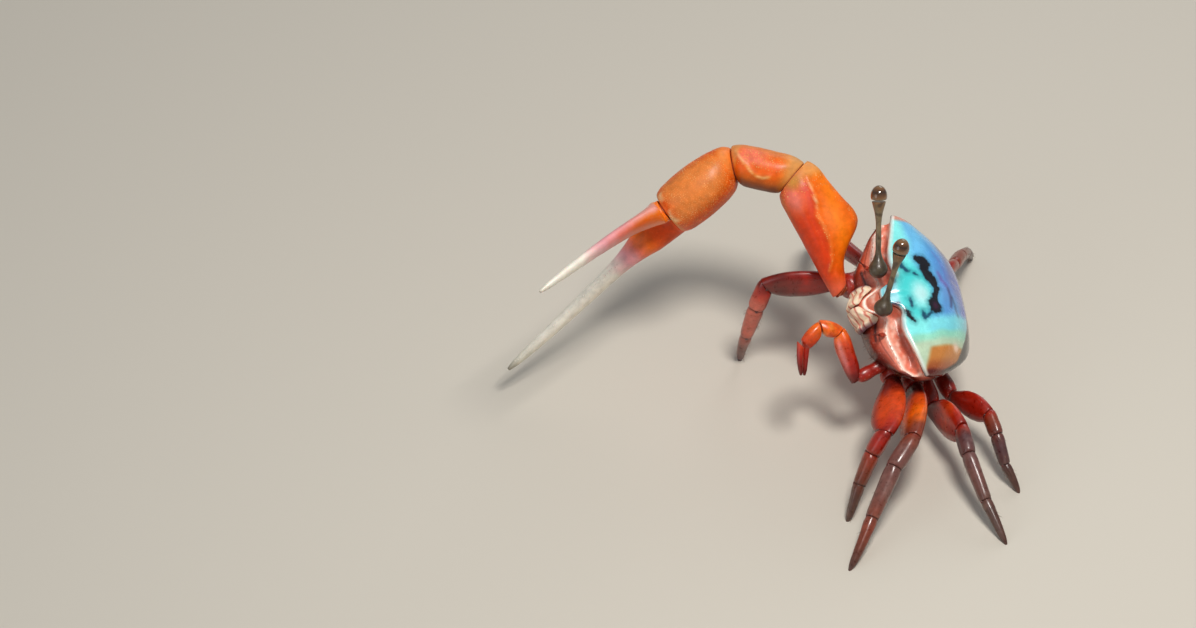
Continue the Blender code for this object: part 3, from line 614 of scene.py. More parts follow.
def spike(name, radius, length, bend=0.2, sides=5):
    # A bristle or tooth, modelled once: a disc drawn out in three steps, each narrower and leaning more.
    clearSelection()
    bpy.ops.mesh.primitive_circle_add(vertices=sides, radius=radius * mm, fill_type="NGON",
                                      location=(0, 0, 0))
    thorn = bpy.context.object
    bpy.ops.object.mode_set(mode="EDIT")
    for share, width in ((0.4, 0.8), (0.75, 0.62), (1.0, 0.3)):
        bpy.ops.mesh.extrude_region_move(TRANSFORM_OT_translate={"value": (bend * share * length * 0.4 * mm,
                                                                           0, length * 0.34 * mm)})
        bpy.ops.transform.resize(value=(width, width, width))
    bpy.ops.mesh.select_all(action="SELECT")
    bpy.ops.mesh.normals_make_consistent(inside=False)
    return endModel(thorn, name)


def standAt(at, out, lean=None, size=1.0, turn=0.0):
    # Places a small model at a point in mm, its +Z along out and its +X towards lean.
    out = unit(out)
    lean = np.array((0.3, 0.5, 0.8)) if lean is None else np.asarray(lean, float)
    side = lean - out * (lean @ out)
    side = unit(side) if np.linalg.norm(side) > 1e-6 else unit(np.cross(out, (0.6, 0.1, 0.3)))
    third = np.cross(out, side)
    rows = np.stack((side, third, out), axis=-1) * size
    matrix = Matrix([[*rows[k], (at[k] + floorShift[k]) * mm] for k in range(3)] + [[0, 0, 0, 1]])
    return matrix @ Matrix.Rotation(turn, 4, "Z")


def spotsOn(piece, count, seed, keep, apart=0.0):
    # Random (point, normal) pairs on a piece, even over its area, where keep(points) allows.
    draw = random.Random(seed)
    points, normals = pointsOf(piece), normalsOf(piece)
    faces = [tuple(p.vertices) for p in piece.data.polygons]
    areas = np.array([p.area for p in piece.data.polygons])
    centres = np.array([points[list(f)].mean(axis=0) for f in faces])
    allowed = keep(centres)
    total = np.cumsum(areas * allowed)
    found, taken = [], np.empty((count, 3))
    tries = 0
    while len(found) < count and tries < count * 12:
        tries += 1
        k = int(np.searchsorted(total, draw.random() * total[-1]))
        corners = faces[min(k, len(faces) - 1)]
        weights = np.array([draw.random() + 0.05 for _ in corners])
        weights /= weights.sum()
        at = weights @ points[list(corners)]
        if apart and found and ((taken[:len(found)] - at) ** 2).sum(axis=1).min() < apart ** 2:
            continue
        taken[len(found)] = at
        found.append((at, unit(weights @ normals[list(corners)])))
    return found


# The shell: outline, height and thickness as shares of its width; halfAcross is its modelled half width.

shell = {
    "frontEdge": [(0, 0.150), (0.035, 0.140), (0.06, 0.108), (0.08, 0.080), (0.11, 0.066), (0.15, 0.074),
                  (0.20, 0.080), (0.25, 0.074), (0.30, 0.060), (0.36, 0.040), (0.42, 0.015), (0.47, -0.010),
                  (0.5, -0.03)],
    "rearEdge": [(0, -0.545), (0.12, -0.54), (0.2, -0.53), (0.26, -0.51), (0.32, -0.45), (0.39, -0.34),
                 (0.45, -0.22), (0.49, -0.12), (0.5, -0.06)],
    "halfWidth": [(-0.56, 0.20), (-0.52, 0.26), (-0.46, 0.32), (-0.35, 0.39), (-0.22, 0.45), (-0.12, 0.49),
                  (0, 0.5), (0.1, 0.5)],
    "crest": [(-0.56, -0.075), (-0.52, -0.03), (-0.44, 0.035), (-0.33, 0.085), (-0.2, 0.10), (-0.08, 0.078),
              (0, 0.045), (0.06, 0.012), (0.135, -0.05)],
    "margin": [(-0.56, -0.085), (-0.5, -0.06), (-0.3, -0.02), (-0.12, 0.0), (0.1, 0.0)],
    "columns": 176, "rows": 118, "rim": 0.011,
    "grooveDepth": 0.0055, "halfAcross": 0.4985, "plate": 0.026, "browPlate": 0.030,
}

# Painted marks on the shell: colour, half width and (forward, left, width factor) points.
shellInk = {
    "farSpot": ("teal", 0.013, [(0.03, -0.17, 0.9), (0.005, -0.125, 1.1)]),
    "farBar": ("ink", 0.025, [(-0.07, -0.20, 0.8), (-0.10, -0.19, 1.2), (-0.115, -0.165, 1.2),
                              (-0.10, -0.13, 1.0),
                              (-0.125, -0.08, 1.25), (-0.145, -0.055, 1.2), (-0.16, -0.025, 0.7)]),
    "link": ("ink", 0.017, [(-0.16, -0.025, 0.8), (-0.135, 0.03, 1.1), (-0.12, 0.08, 1.7),
                            (-0.09, 0.12, 0.6)]),
    "tail": ("teal", 0.009, [(-0.095, 0.125, 1.0), (-0.065, 0.155, 0.8), (-0.045, 0.165, 0.8),
                             (-0.035, 0.125, 0.7)]),
    "blob": ("ink", 0.040, [(-0.118, 0.078, 1.0), (-0.122, 0.096, 1.0)]),
    "nearSpot": ("ink", 0.012, [(0.055, 0.11, 0.8), (0.045, 0.14, 1.0), (0.02, 0.18, 0.8)]),
    "nearDash": ("teal", 0.012, [(0.02, 0.045, 0.5), (0.02, 0.09, 0.7)]),
    "farDash": ("teal", 0.010, [(-0.05, -0.095, 0.4), (-0.035, -0.11, 0.5)]),
}


# Soft patches on the shell: colour, strength, softness, centre and reach, both forward and left.
shellPatches = [
    ("sky", 0.8, 0.7, (-0.13, -0.29), (0.09, 0.12)), ("deepBlue", 0.75, 0.8, (-0.22, -0.20), (0.07, 0.13)),
    ("deepBlue", 0.7, 0.8, (-0.23, 0.13), (0.06, 0.09)),
    ("violet", 0.65, 0.8, (-0.30, -0.02), (0.10, 0.20)),
    ("sky", 0.6, 0.9, (-0.29, 0.12), (0.06, 0.12)), ("turquoise", 1, 0.35, (-0.02, 0.0), (0.095, 0.17)),
    ("iceBlue", 0.9, 0.8, (-0.045, 0.02), (0.05, 0.075)), ("cyan", 0.9, 0.8, (0.02, -0.36), (0.06, 0.09)),
]

# Faint lines behind the marks: colour, strength, half width, softness and points as in shellInk.
shellLines = [
    ("magenta", 0.75, 0.009, 0.045, [(-0.195, -0.12, 0.6), (-0.215, -0.08, 1), (-0.24, -0.05, 0.7)]),
    ("wine", 0.7, 0.007, 0.04, [(-0.25, -0.03, 0.7), (-0.258, 0.02, 1), (-0.25, 0.08, 0.7)]),
    ("ink", 0.55, 0.005, 0.04, [(-0.27, 0.02, 0.7), (-0.29, 0.08, 1), (-0.30, 0.13, 0.5)]),
]
shellVein = [(-0.20, -0.26, 0.6), (-0.24, -0.18, 1), (-0.27, -0.10, 0.6)]


def topOf(f, side):
    share = np.minimum(1, np.abs(side) / curve(shell["halfWidth"], f)) ** 3
    return curve(shell["crest"], f) * (1 - share) + curve(shell["margin"], f) * share


def underOf(f, side):
    nearEdge = np.clip((curve(shell["frontEdge"], np.abs(side)) - f) / 0.08, 0, 1)
    nearSide = 1 - np.minimum(1, np.abs(side) / curve(shell["halfWidth"], f)) ** 3
    return topOf(f, side) - shell["plate"] - shell["browPlate"] * nearEdge * nearSide


def shellRelief(f, side):
    # Shallow furrows round the middle fields and low swellings between them.
    a = np.abs(side)
    furrow = np.zeros_like(f)
    for path in ([(0.03, 0.16, 1), (-0.04, 0.155, 1), (-0.10, 0.13, 1), (-0.15, 0.06, 1), (-0.17, 0.0, 1)],
                 [(-0.15, 0.06, 1), (-0.22, 0.085, 1), (-0.30, 0.10, 1), (-0.38, 0.085, 0.8)],
                 [(-0.02, 0.17, 1), (-0.03, 0.26, 1), (-0.01, 0.34, 0.6)]):
        furrow = np.maximum(furrow, strokeMask(f, a, path, 0.008, 0.05))
    middle = blobMask(f, a, (-0.05, 0.0), (0.09, 0.12), 0.8)
    branch = blobMask(f, a, (-0.18, 0.27), (0.15, 0.13), 0.8)
    heart = blobMask(f, a, (-0.28, 0.0), (0.08, 0.075), 0.8)
    cleft = strokeMask(f, a, [(0.13, 0, 1), (0.03, 0, 0.4)], 0.004, 0.03)
    return -shell["grooveDepth"] * (furrow + 0.8 * cleft) + 0.004 * middle + 0.005 * branch + 0.003 * heart


def buildCarapace():
    columns, rows, rim = shell["columns"], shell["rows"], shell["rim"]
    x = np.linspace(-1, 1, columns)
    sides = (0.6 * x + 0.4 * np.sin(x * math.pi / 2)) * shell["halfAcross"]
    y = np.linspace(-1, 1, rows)
    shares = 0.5 + 0.5 * (0.55 * y + 0.45 * np.sin(y * math.pi / 2))
    a = np.abs(sides)
    front, rear = curve(shell["frontEdge"], a), curve(shell["rearEdge"], a)
    side, share = np.meshgrid(sides, shares)

    def layer(inset, level):
        # level 0 is the upper face, 0.5 the middle of the rim and 1 the under face
        pulled = side * (1 - inset / shell["halfAcross"])
        f = rear + inset + (front - rear - 2 * inset) * share
        top, under = topOf(f, pulled), underOf(f, pulled)
        if level == 0:
            top = top + shellRelief(f, pulled)
        return onBody(f, pulled, top * (1 - level) + under * level)

    layers = [layer(rim, 0.0), layer(rim * 0.25, 0.14), layer(0.0, 0.45), layer(rim * 0.2, 0.85),
              layer(rim, 1.0)]
    clearSelection()
    bpy.ops.mesh.primitive_grid_add(x_subdivisions=columns - 1, y_subdivisions=rows - 1,
                                    size=carapaceWidth * mm,
                                    location=(0, 0, 0.03))
    bpy.ops.object.transform_apply(location=True, rotation=True, scale=True)
    piece = bpy.context.object
    bpy.ops.object.mode_set(mode="EDIT")
    shape = bmesh.from_edit_mesh(piece.data)
    spot = shape.verts.layers.int.new("spot")
    for i, vertex in enumerate(shape.verts):
        vertex[spot] = i
    for k, grid in enumerate(layers):
        flat = (grid.reshape(-1, 3) + floorShift) * mm
        if k:
            bpy.ops.mesh.extrude_region_move(TRANSFORM_OT_translate={"value": (0, 0, -0.0002)})
            shape = bmesh.from_edit_mesh(piece.data)
            spot = shape.verts.layers.int["spot"]
        for vertex in shape.verts:
            if vertex.select:
                vertex.co = flat[vertex[spot]]
    closeShape(piece, "shell")

    points = pointsOf(piece)
    f, s, d = bodyShares(points)
    wobble = 0.010 * ripple(points, 2.2, 1) + 0.005 * ripple(points, 0.9, 2)
    fw, sw = f + wobble, s + 0.012 * ripple(points, 2.6, 3)
    a = np.abs(s)
    base = ramp(fw, [(-0.50, "slate"), (-0.40, "violet"), (-0.31, "slate"), (-0.24, "sky"), (-0.15, "sky"),
                     (-0.08, "sky"), (-0.02, "cyan"), (0.05, "cyan")])
    for tone, strength, soft, centre, sizes in shellPatches:
        base = brush(base, blobMask(fw, sw, centre, sizes, soft) * strength, tone)
    # Bands across the near end of the shell, out to its dark edge.
    out = sw - 0.153 * f
    base = coats(
        base,
        (ease(0.15, 0.20, out) * 0.75, "cyan"),
        (ease(0.24, 0.28, out) * 0.85, "seaGreen"),
        (ease(0.28, 0.33, out) * 0.9, "paleSage"))
    behind = ease(-0.02, -0.06, f - 0.276 * (s - 0.395))
    base = coats(
        base,
        (ease(0.335, 0.365, out) * behind, "amber"),
        (ease(0.40, 0.46, out) * behind * 0.7, "rust"),
        (ease(0.455, 0.485, out) * behind, "oxblood"),
        (blobMask(fw, sw, (-0.265, 0.32), (0.03, 0.022), 0.8) * 0.8, "blush"),
        (ease(-0.445, -0.475, s) * 0.9, "salmon"))
    for tone, strength, width, soft, path in shellLines:
        base = brush(base, strokeMask(f, s, path, width, soft) * strength, tone)
    base = brush(base, strokeMask(fw, sw, shellVein, 0.006, 0.03) * 0.7, "violet")
    edge, marks = np.full(len(f), -9.0), np.zeros((len(f), 3))
    for tone, width, path in shellInk.values():
        depth = strokeReach(f, s, path, width) * carapaceWidth
        marks[depth > edge] = paint(tone)
        edge = np.maximum(edge, depth)
    marks = brush(marks, blobMask(f, s, (-0.125, 0.088), (0.020, 0.022), 0.6) * 0.9, "wine")
    applyMarks(piece, edge, marks)
    lobe = ease(0.068, 0.08, f)
    base = brush(base, lobe, "lobeBlue")
    # The front lobe's flanks are brushed wine: painted shade beside the lobe.
    base = brush(base, lobe * ease(0.050, 0.068, a) * 0.8, "wine")
    frontEdge, rearEdge = curve(shell["frontEdge"], a), curve(shell["rearEdge"], a)
    line = ease(0.024, 0.006, frontEdge - f + 0.004 * ripple(points, 0.8, 7)) * ease(0.07, 0.11, a)
    base = brush(base, line * ease(-0.12, -0.02, f) * 0.75, "rimWhite")
    # Painted shade: the shell's rear edge and its near rear corner are darkened with soot.
    base = brush(base, ease(0.075, 0.03, f - rearEdge) * ease(0.49, 0.42, a), "paintedShade")
    shadeFrom = -0.38 + 0.48 * (s - 0.2) + 0.010 * ripple(points, 1.5, 8)
    base = brush(base, ease(0.0, -0.035, f - shadeFrom) * ease(-0.02, 0.12, s) * 0.9, "paintedShade")
    # The rim and underside behind the front are darkened with soot as painted shade; the front rim is salmon,
    # its own colour.
    outer = ease(-0.004, -0.020, d - topOf(f, s))
    base = brush(base, outer * ease(0.02, -0.06, f), "paintedShade")
    base = brush(base, outer * ease(-0.02, 0.03, f), "salmon")
    dress(piece, base, "shellGloss", ["carapace"])


# The body under the shell.

trunk = {
    "floor": [(0, -0.40), (0.15, -0.40), (0.25, -0.375), (0.32, -0.32), (0.38, -0.25), (0.43, -0.18),
              (0.46, -0.14), (0.475, -0.12)],
    "floorFront": [(0, 0.0), (0.2, -0.03), (0.35, -0.09), (0.475, -0.05)],
    "floorRear": [(0, -0.42), (0.2, -0.40), (0.3, -0.33), (0.4, -0.22), (0.475, -0.12)],
    "orbit": [(0, 0), (0.05, 0), (0.10, 0.045), (0.16, 0.062), (0.40, 0.05), (0.475, 0.012)],
    "bulge": [(0, 0.055), (0.15, 0.06), (0.3, 0.07), (0.4, 0.05), (0.475, 0.02)],
    "furrows": (-0.07, -0.18, -0.30, -0.41),
    "stations": 61, "halfAcross": 0.474, "furrowDepth": 0.22,
}


def socketHeight(brow, floor):
    return np.minimum(0.115, 0.62 * (brow - floor))


def trunkProfile(side):
    # Section of the body at this distance from the midline, as (forward, back) shares.
    a = abs(side)
    front, rear = curve(shell["frontEdge"], a) - bodyInset, curve(shell["rearEdge"], a) + bodyInset
    orbit, floor = curve(trunk["orbit"], a), curve(trunk["floor"], a)
    tops = [(f, underOf(f, side) - gap) for f in np.linspace(rear, front, 10)]
    brow = tops[-1][1]
    high = socketHeight(brow, floor)
    socket = [(front - 0.45 * orbit, brow - 0.14 * high), (front - orbit, brow - 0.42 * high),
              (front - 0.85 * orbit, brow - 0.72 * high), (front - 0.2 * orbit, brow - 0.9 * high)]
    lip = (front + bodyLip, brow - high)
    lowFront, lowRear = curve(trunk["floorFront"], a), curve(trunk["floorRear"], a)
    face = [(lip[0] + (lowFront - lip[0]) * t + curve(trunk["bulge"], a) * math.sin(math.pi * t),
             lip[1] + (floor - lip[1]) * t) for t in (0.0, 0.2, 0.45, 0.7, 0.9)]
    base = [(lowFront + (lowRear - lowFront) * t, floor - 0.012 * math.sin(math.pi * t))
            for t in (0.08, 0.35, 0.65, 0.92)]
    wall = [(lowRear + (rear - lowRear) * t - 0.03 * math.sin(math.pi * t),
             floor + (tops[0][1] - floor) * t)
            for t in (0.12, 0.4, 0.7, 0.92)]
    return np.array(tops + socket + face + base + wall, float)


def lipLevel(a):
    # The lip of the eye socket: its forward and upward shares and the height of the socket.
    front = curve(shell["frontEdge"], a) - bodyInset
    brow = underOf(front, a) - gap
    high = socketHeight(brow, curve(trunk["floor"], a))
    return front + bodyLip, brow - high, high


def faceAt(side, t):
    # Point on the front of the body, from the lip of the eye socket (t = 0) to the breast plate (t = 1).
    a = abs(side)
    lipF, lipD, high = lipLevel(a)
    forward = lipF + (curve(trunk["floorFront"], a) - lipF) * t
    return forward + curve(trunk["bulge"], a) * math.sin(math.pi
                                                         * t), lipD + (curve(trunk["floor"], a) - lipD) * t


def smoothLoop(points, per):
    # Closed curve through the points, per steps between each two.
    loop, tension = [], 0.42
    for i in range(len(points)):
        a, b, c, d = (points[(i + k) % len(points)] for k in (-1, 0, 1, 2))
        loop += [bridge(t, b, c, (c - a) * tension, (d - b) * tension) for t in np.arange(per) / per]
    return np.array(loop)


def belowLip(points):
    # Shares of each point, the socket's lip there, and how far down from the lip to the floor the point is.
    f, s, d = bodyShares(points)
    lipF, lipD, high = lipLevel(np.abs(s))
    return f, s, d, lipF, lipD, (lipD - d) / (lipD - curve(trunk["floor"], np.abs(s)))


def trunkColours(points):
    f, s, d, lipF, lipD, below = belowLip(points)
    a = np.abs(s)
    grain = ripple(points, 1.6, 11)
    colours = ramp(below + 0.05 * grain, [(-0.2, "salmon"), (0.0, "salmon"), (0.12, "coral"),
                                          (0.3, "brick"),
                                          (0.55, "oxblood"), (0.85, "oxblood"), (1.0, "mud")])
    socket = ease(0.004, 0.02, d - lipD) * ease(0.0, 0.03, f - (lipF - 0.14))
    patch = ease(-0.25, 0.45, ripple(points, 1.7, 12) + 0.5 * ripple(points, 0.7, 13))
    colours = coats(
        colours,
        (socket, "coral"),
        # Pale blush patches in the eye socket: partly its own paler tone and partly painted highlight.
        (socket * patch * 0.8, "blush"),
        # A near-white line along the socket's lip: painted highlight.
        (ease(0.016, 0.002, np.abs(d - lipD - 0.004)) * ease(0.035, 0.0, np.abs(f - lipF)), "paintedHighlight"),
        # A dark line across the face below the socket's lip: painted shade of a crease.
        (ease(0.012, 0.0, np.abs(below - 0.16)) * ease(0.10, 0.2, a) * 0.6, "oxblood"),
        (ease(-0.06, -0.14, f - lipF), "oxblood"),
        (ease(0.40, 0.46, a) * ease(0.02, 0.08, below), "oxblood"),
        (ease(0.85, 1.0, below) * ease(0.30, 0.20, a), "salmon"),
        (ease(-0.30, -0.42, f) * 0.8, "mud"))
    # A dark line along the slit above the mouth plates: painted shade of the gap.
    slitShade = strokeMask(a, d, [(0.21, -0.213, 0.8), (0.137, -0.205, 1), (0.07, -0.185, 0.6)], 0.008, 0.02)
    return brush(colours, slitShade * ease(0.04, 0.06, f) * 0.9, "ink")


def buildTrunk():
    half = np.linspace(-1, 1, trunk["stations"])
    sides = (0.7 * half + 0.3 * np.sin(half * math.pi / 2)) * trunk["halfAcross"]
    rings = []
    for side in sides:
        loop = smoothLoop(trunkProfile(side), 3)
        rings.append(onBody(loop[:, 0], np.full(len(loop), side), loop[:, 1]))
    piece = growPiece("trunk", rings)
    # Furrows across the breast plate, between the roots of the legs.
    points = pointsOf(piece)
    f, s, d = bodyShares(points)
    under = ease(0.03, 0.0, d - curve(trunk["floor"], np.abs(s)))
    furrows = sum(strokeMask(f, np.abs(s), [(at, 0.10, 1), (at - 0.03, 0.34, 1)], 0.002, 0.02)
                  for at in trunk["furrows"])
    movePoints(piece, points - normalsOf(piece) * (trunk["furrowDepth"] * under * furrows)[:, None])
    dress(piece, trunkColours(pointsOf(piece)), "bodySatin", ["body"])


# Width of a coxa along its length: its waist, then a rim for the legs or a rounded stub for the claws.
coxaWaist = [(0, 1), (0.35, 0.98), (0.5, 0.9), (0.62, 1)]
coxaRim = [(0.85, 1.08), (1, 0.88)]
coxaStub = [(0.8, 1), (0.93, 0.8), (1, 0.5)]


def buildCoxae():
    stubs = []
    plans = [(name, plan["coxa"], plan["joints"][0], 1.2, (1.45 * plan["scale"], 1.15 * plan["scale"]),
              between(onBody(*plan["coxa"]), plan["joints"][0], plan["joints"][1])) for name,
              plan in legPlan.items()]
    plans.append(("major", chelipedCoxa["major"], place("majorBase"), 1.5, (2.0, 1.8), None))
    plans.append(("minor", chelipedCoxa["minor"], place("minorBase"), 1.5, (1.0, 1.0), None))
    for name, coxa, tip, reach, (high, wide), last in plans:
        anchor = onBody(*coxa)
        axis = unit(np.asarray(tip, float) - anchor)
        stations = evenSizes(*((share, wide * k, high * k, high * k)
                               for share, k in coxaWaist + (coxaStub if last is None else coxaRim)))
        rings = limbRings(anchor - axis * reach, tip, backAxis, stations, None, last, (0, seam), count=20,
                          steps=14)
        stubs.append(growPiece("coxa", roundedRings(rings)))
    piece = joinPieces("coxae", stubs)
    points = pointsOf(piece)
    # Dark red coxae: their own colour, kept dark as painted shade under the body.
    colours = ramp(drift(points, 1.2, 21), [(0, "oxblood"), (0.5, "crimson"), (1, "brick")])
    dress(piece, colours, "bodySatin", ["body"])


def buildAbdomen():
    # The narrow tail, folded forward under the breast plate, in seven rings.
    path = trunkProfile(0.0)[-8:]
    centre = np.array((-0.25, -0.2))
    widths = [0.045, 0.055, 0.065, 0.075, 0.09, 0.10, 0.105, 0.10]
    knots = np.arange(8)

    def along(u):
        return np.array([curve(list(zip(knots, path[:, k])), u) for k in (0, 1)])

    rings = []
    for u in np.linspace(0, 7, 57):
        p = along(u)
        n = unit((along(min(7, u + 0.05)) - along(max(0, u - 0.05)))[::-1] * (1, -1))
        if (p - centre) @ n < 0:
            n = -n
        w = float(curve(list(zip(knots, widths)), u)) * (1 - 0.03 * (abs(u % 1 - 0.5) > 0.44))
        thick = 0.030 - 0.007 * max(0, 1 - 2.2 * abs(u - round(u)) / 0.25) * (0.2 < u < 6.8)
        drop = np.array((0, 0.012)) * ease(6, 7, u)
        inner, outer = p + n * (gap + 0.006) - drop, p + n * (gap + 0.006 + thick) - drop
        middle = (inner + outer) / 2
        ring = [(-w, inner), (0, inner), (w, inner), (w * 1.02, middle), (w * 0.7, outer),
                (0, outer + n * 0.004),
                (-w * 0.7, outer), (-w * 1.02, middle)]
        loop = smoothLoop(np.array([(s, q[0], q[1]) for s, q in ring]), 3)
        rings.append(onBody(loop[:, 1], loop[:, 0], loop[:, 2]))
    piece = growPiece("tail", rings)
    points = pointsOf(piece)
    colours = ramp(drift(points, 1.0, 31), [(0, "rust"), (0.5, "salmon"), (1, "blush")])
    dress(piece, colours, "bodySatin", ["abdomen"])


mouth = {"rows": 48, "lumps": 5.5}


def buildMouthparts():
    table = [(0.06, 0.010, 0.085, 0.018), (0.16, 0.008, 0.112, 0.030), (0.3, 0.008, 0.122, 0.034),
             (0.44, 0.008, 0.124, 0.030), (0.5, 0.008, 0.126, 0.022), (0.56, 0.008, 0.126, 0.033),
             (0.75, 0.008, 0.118, 0.034), (0.9, 0.012, 0.09, 0.022)]
    rows = np.array(table)
    for name, sign in (("left", 1), ("right", -1)):
        rings = []
        for t in np.linspace(0.06, 0.9, mouth["rows"]):
            inner, outer, thick = (float(curve(rows[:, (0, k)], t)) for k in (1, 2, 3))
            middle = (inner + outer) / 2
            ring = []
            lump = 1 + 0.06 * math.cos(2 * math.pi * t * mouth["lumps"])
            for s, lift in ((inner, 0), (middle, 0), (outer, 0), (outer, 0.5), (outer - 0.018, lump),
                            (outer - 0.034, 0.72), (middle, 1.12 * lump), (inner + 0.012, 1), (inner, 0.6)):
                f, d = faceAt(s, t)
                ring.append((f + gap + 0.004 + thick * lift, sign * s, d))
            loop = smoothLoop(np.array(ring), 3)
            rings.append(onBody(loop[:, 0], loop[:, 1], loop[:, 2]))
        piece = growPiece(name + "Mouthplate", rings)
        points = pointsOf(piece)
        f, s, d = bodyShares(points)
        bands = 0.5 + 0.5 * np.sin(d * 150 + 1.6 * ripple(points, 1.6, 41))
        colours = ramp(drift(points, 0.9, 42), [(0, "blush"), (0.45, "ivory"), (1, "cream")])
        colours = coats(
            colours,
            (ease(0.6, 1.0, bands) * 0.6, "lipPink"),
            (ease(0.86, 1.0, bands) * 0.6, "lipRed"),
            (ease(0.10, 0.13, np.abs(s)) * 0.7, "wine"))
        dress(piece, colours, "mouthSatin", ["maxilliped_" + name])


eyes = {
    "radius": 1.2,
    "left": ((0.147, 0.113, -0.090), (-1.2, -0.2, 30.8)),
    "right": ((0.118, -0.118, -0.080), (-4.2, 8.4, 33.1)),
    "stalk": [(0, 0.6), (0.04, 1.12), (0.10, 1.38), (0.16, 1.26), (0.23, 0.78), (0.30, 0.5), (0.5, 0.42),
              (0.76, 0.45),
              (0.86, 0.62), (0.94, 0.86), (1, 1.0)],
}


def buildEyes():
    radius = eyes["radius"]
    for name in ("left", "right"):
        base, top = onBody(*eyes[name][0]), np.array(eyes[name][1], float)
        axis = unit(top - base)
        sway = unit(np.cross(axis, leftAxis))
        neck = top - axis * radius * 0.55
        stations = [(share, r, r, r, r, 0) for share, r in eyes["stalk"]]
        rings = limbRings(base, neck, sway, stations, gaps=(0, seam), power=2, steps=40)
        stalk = growPiece(name + "Eyestalk", roundedRings(rings, 0.08))
        points, share, across, up = sharesOf(stalk, base, neck, sway)
        colours = ramp(share + 0.05 * ripple(points, 0.8, 51),
                       [(0, "mud"), (0.1, "darkOlive"), (0.3, "darkOlive"), (0.6, "olive"), (0.85, "olive"),
                               (1, "hazel")])
        colours = brush(colours, ease(0.1, 0.5, ripple(points, 0.7, 53)) * 0.6, "mud")
        dress(stalk, colours, "stalkSkin", ["eyestalk_" + name])
        tip = top + axis * radius * 1.25
        shares = np.append(np.linspace(0, 0.985, 26), [0.995])
        cap = [(share, *[radius * math.sqrt(max(0.0004, 1 - (share * 1.38 - 0.38) ** 2))] * 4, 0)
               for share in shares]
        rings = limbRings(neck, tip, sway, cap, gaps=(seam, 0), power=2, count=36, steps=30)
        lens = growPiece(name + "Cornea", closeEnd(rings[0], axis, 0.08)[::-1] + rings[1:])
        points, share, across, up = sharesOf(lens, neck, tip, sway)
        colours = ramp(share + 0.04 * ripple(points, 0.7, 52),
                       [(0, "olive"), (0.25, "hazel"), (0.6, "pupil"), (0.85, "hazel"), (1, "olive")])
        dress(lens, colours, "corneaLens", ["eye_" + name])


feelers = {
    "base": (0.084, 0.20, -0.155), "tip": (0.225, 0.235, -0.125), "rings": 30, "whipFrom": 0.47,
    "sizes": [(0, 0.40, 0), (0.06, 0.44, 0), (0.15, 0.42, 0), (0.18, 0.34, 0), (0.21, 0.38, 0),
              (0.30, 0.34, 0),
              (0.33, 0.25, 0), (0.36, 0.28, 0), (0.43, 0.25, 0.02), (0.47, 0.17, 0.03), (0.7, 0.14, 0.08),
              (1, 0.07, 0.1)],
    "scale": 0.8, "flatness": 0.9,
}


def buildFeelers():
    # Three stout joints at the root, then a thin ringed whip.
    wide = feelers["scale"]
    high = wide * feelers["flatness"]
    stations = evenSizes(*((share, r * wide, r * high, r * high, shift) for share, r,
                           shift in feelers["sizes"]))
    for name, sign in (("left", 1), ("right", -1)):
        base, tip = (onBody(f, sign * s, d) for f, s, d in (feelers["base"], feelers["tip"]))

        def beads(share, angle):
            return 0.007 * math.cos(2 * math.pi * feelers["rings"]
                                    * share) * (share > feelers["whipFrom"]) * np.ones_like(angle)

        rings = limbRings(base, tip, backAxis, stations, gaps=(0, 0), count=14, steps=110, relief=beads)
        piece = growPiece(name + "Feeler", roundedRings(rings, 0.05))
        points, share, across, up = sharesOf(piece, base, tip, backAxis)
        dress(piece, ramp(share, [(0, "brick"), (0.3, "brick"), (0.5, "oxblood"), (1, "oxblood")]),
              "mouthSatin",
              ["antenna_" + name])


# The large claw.

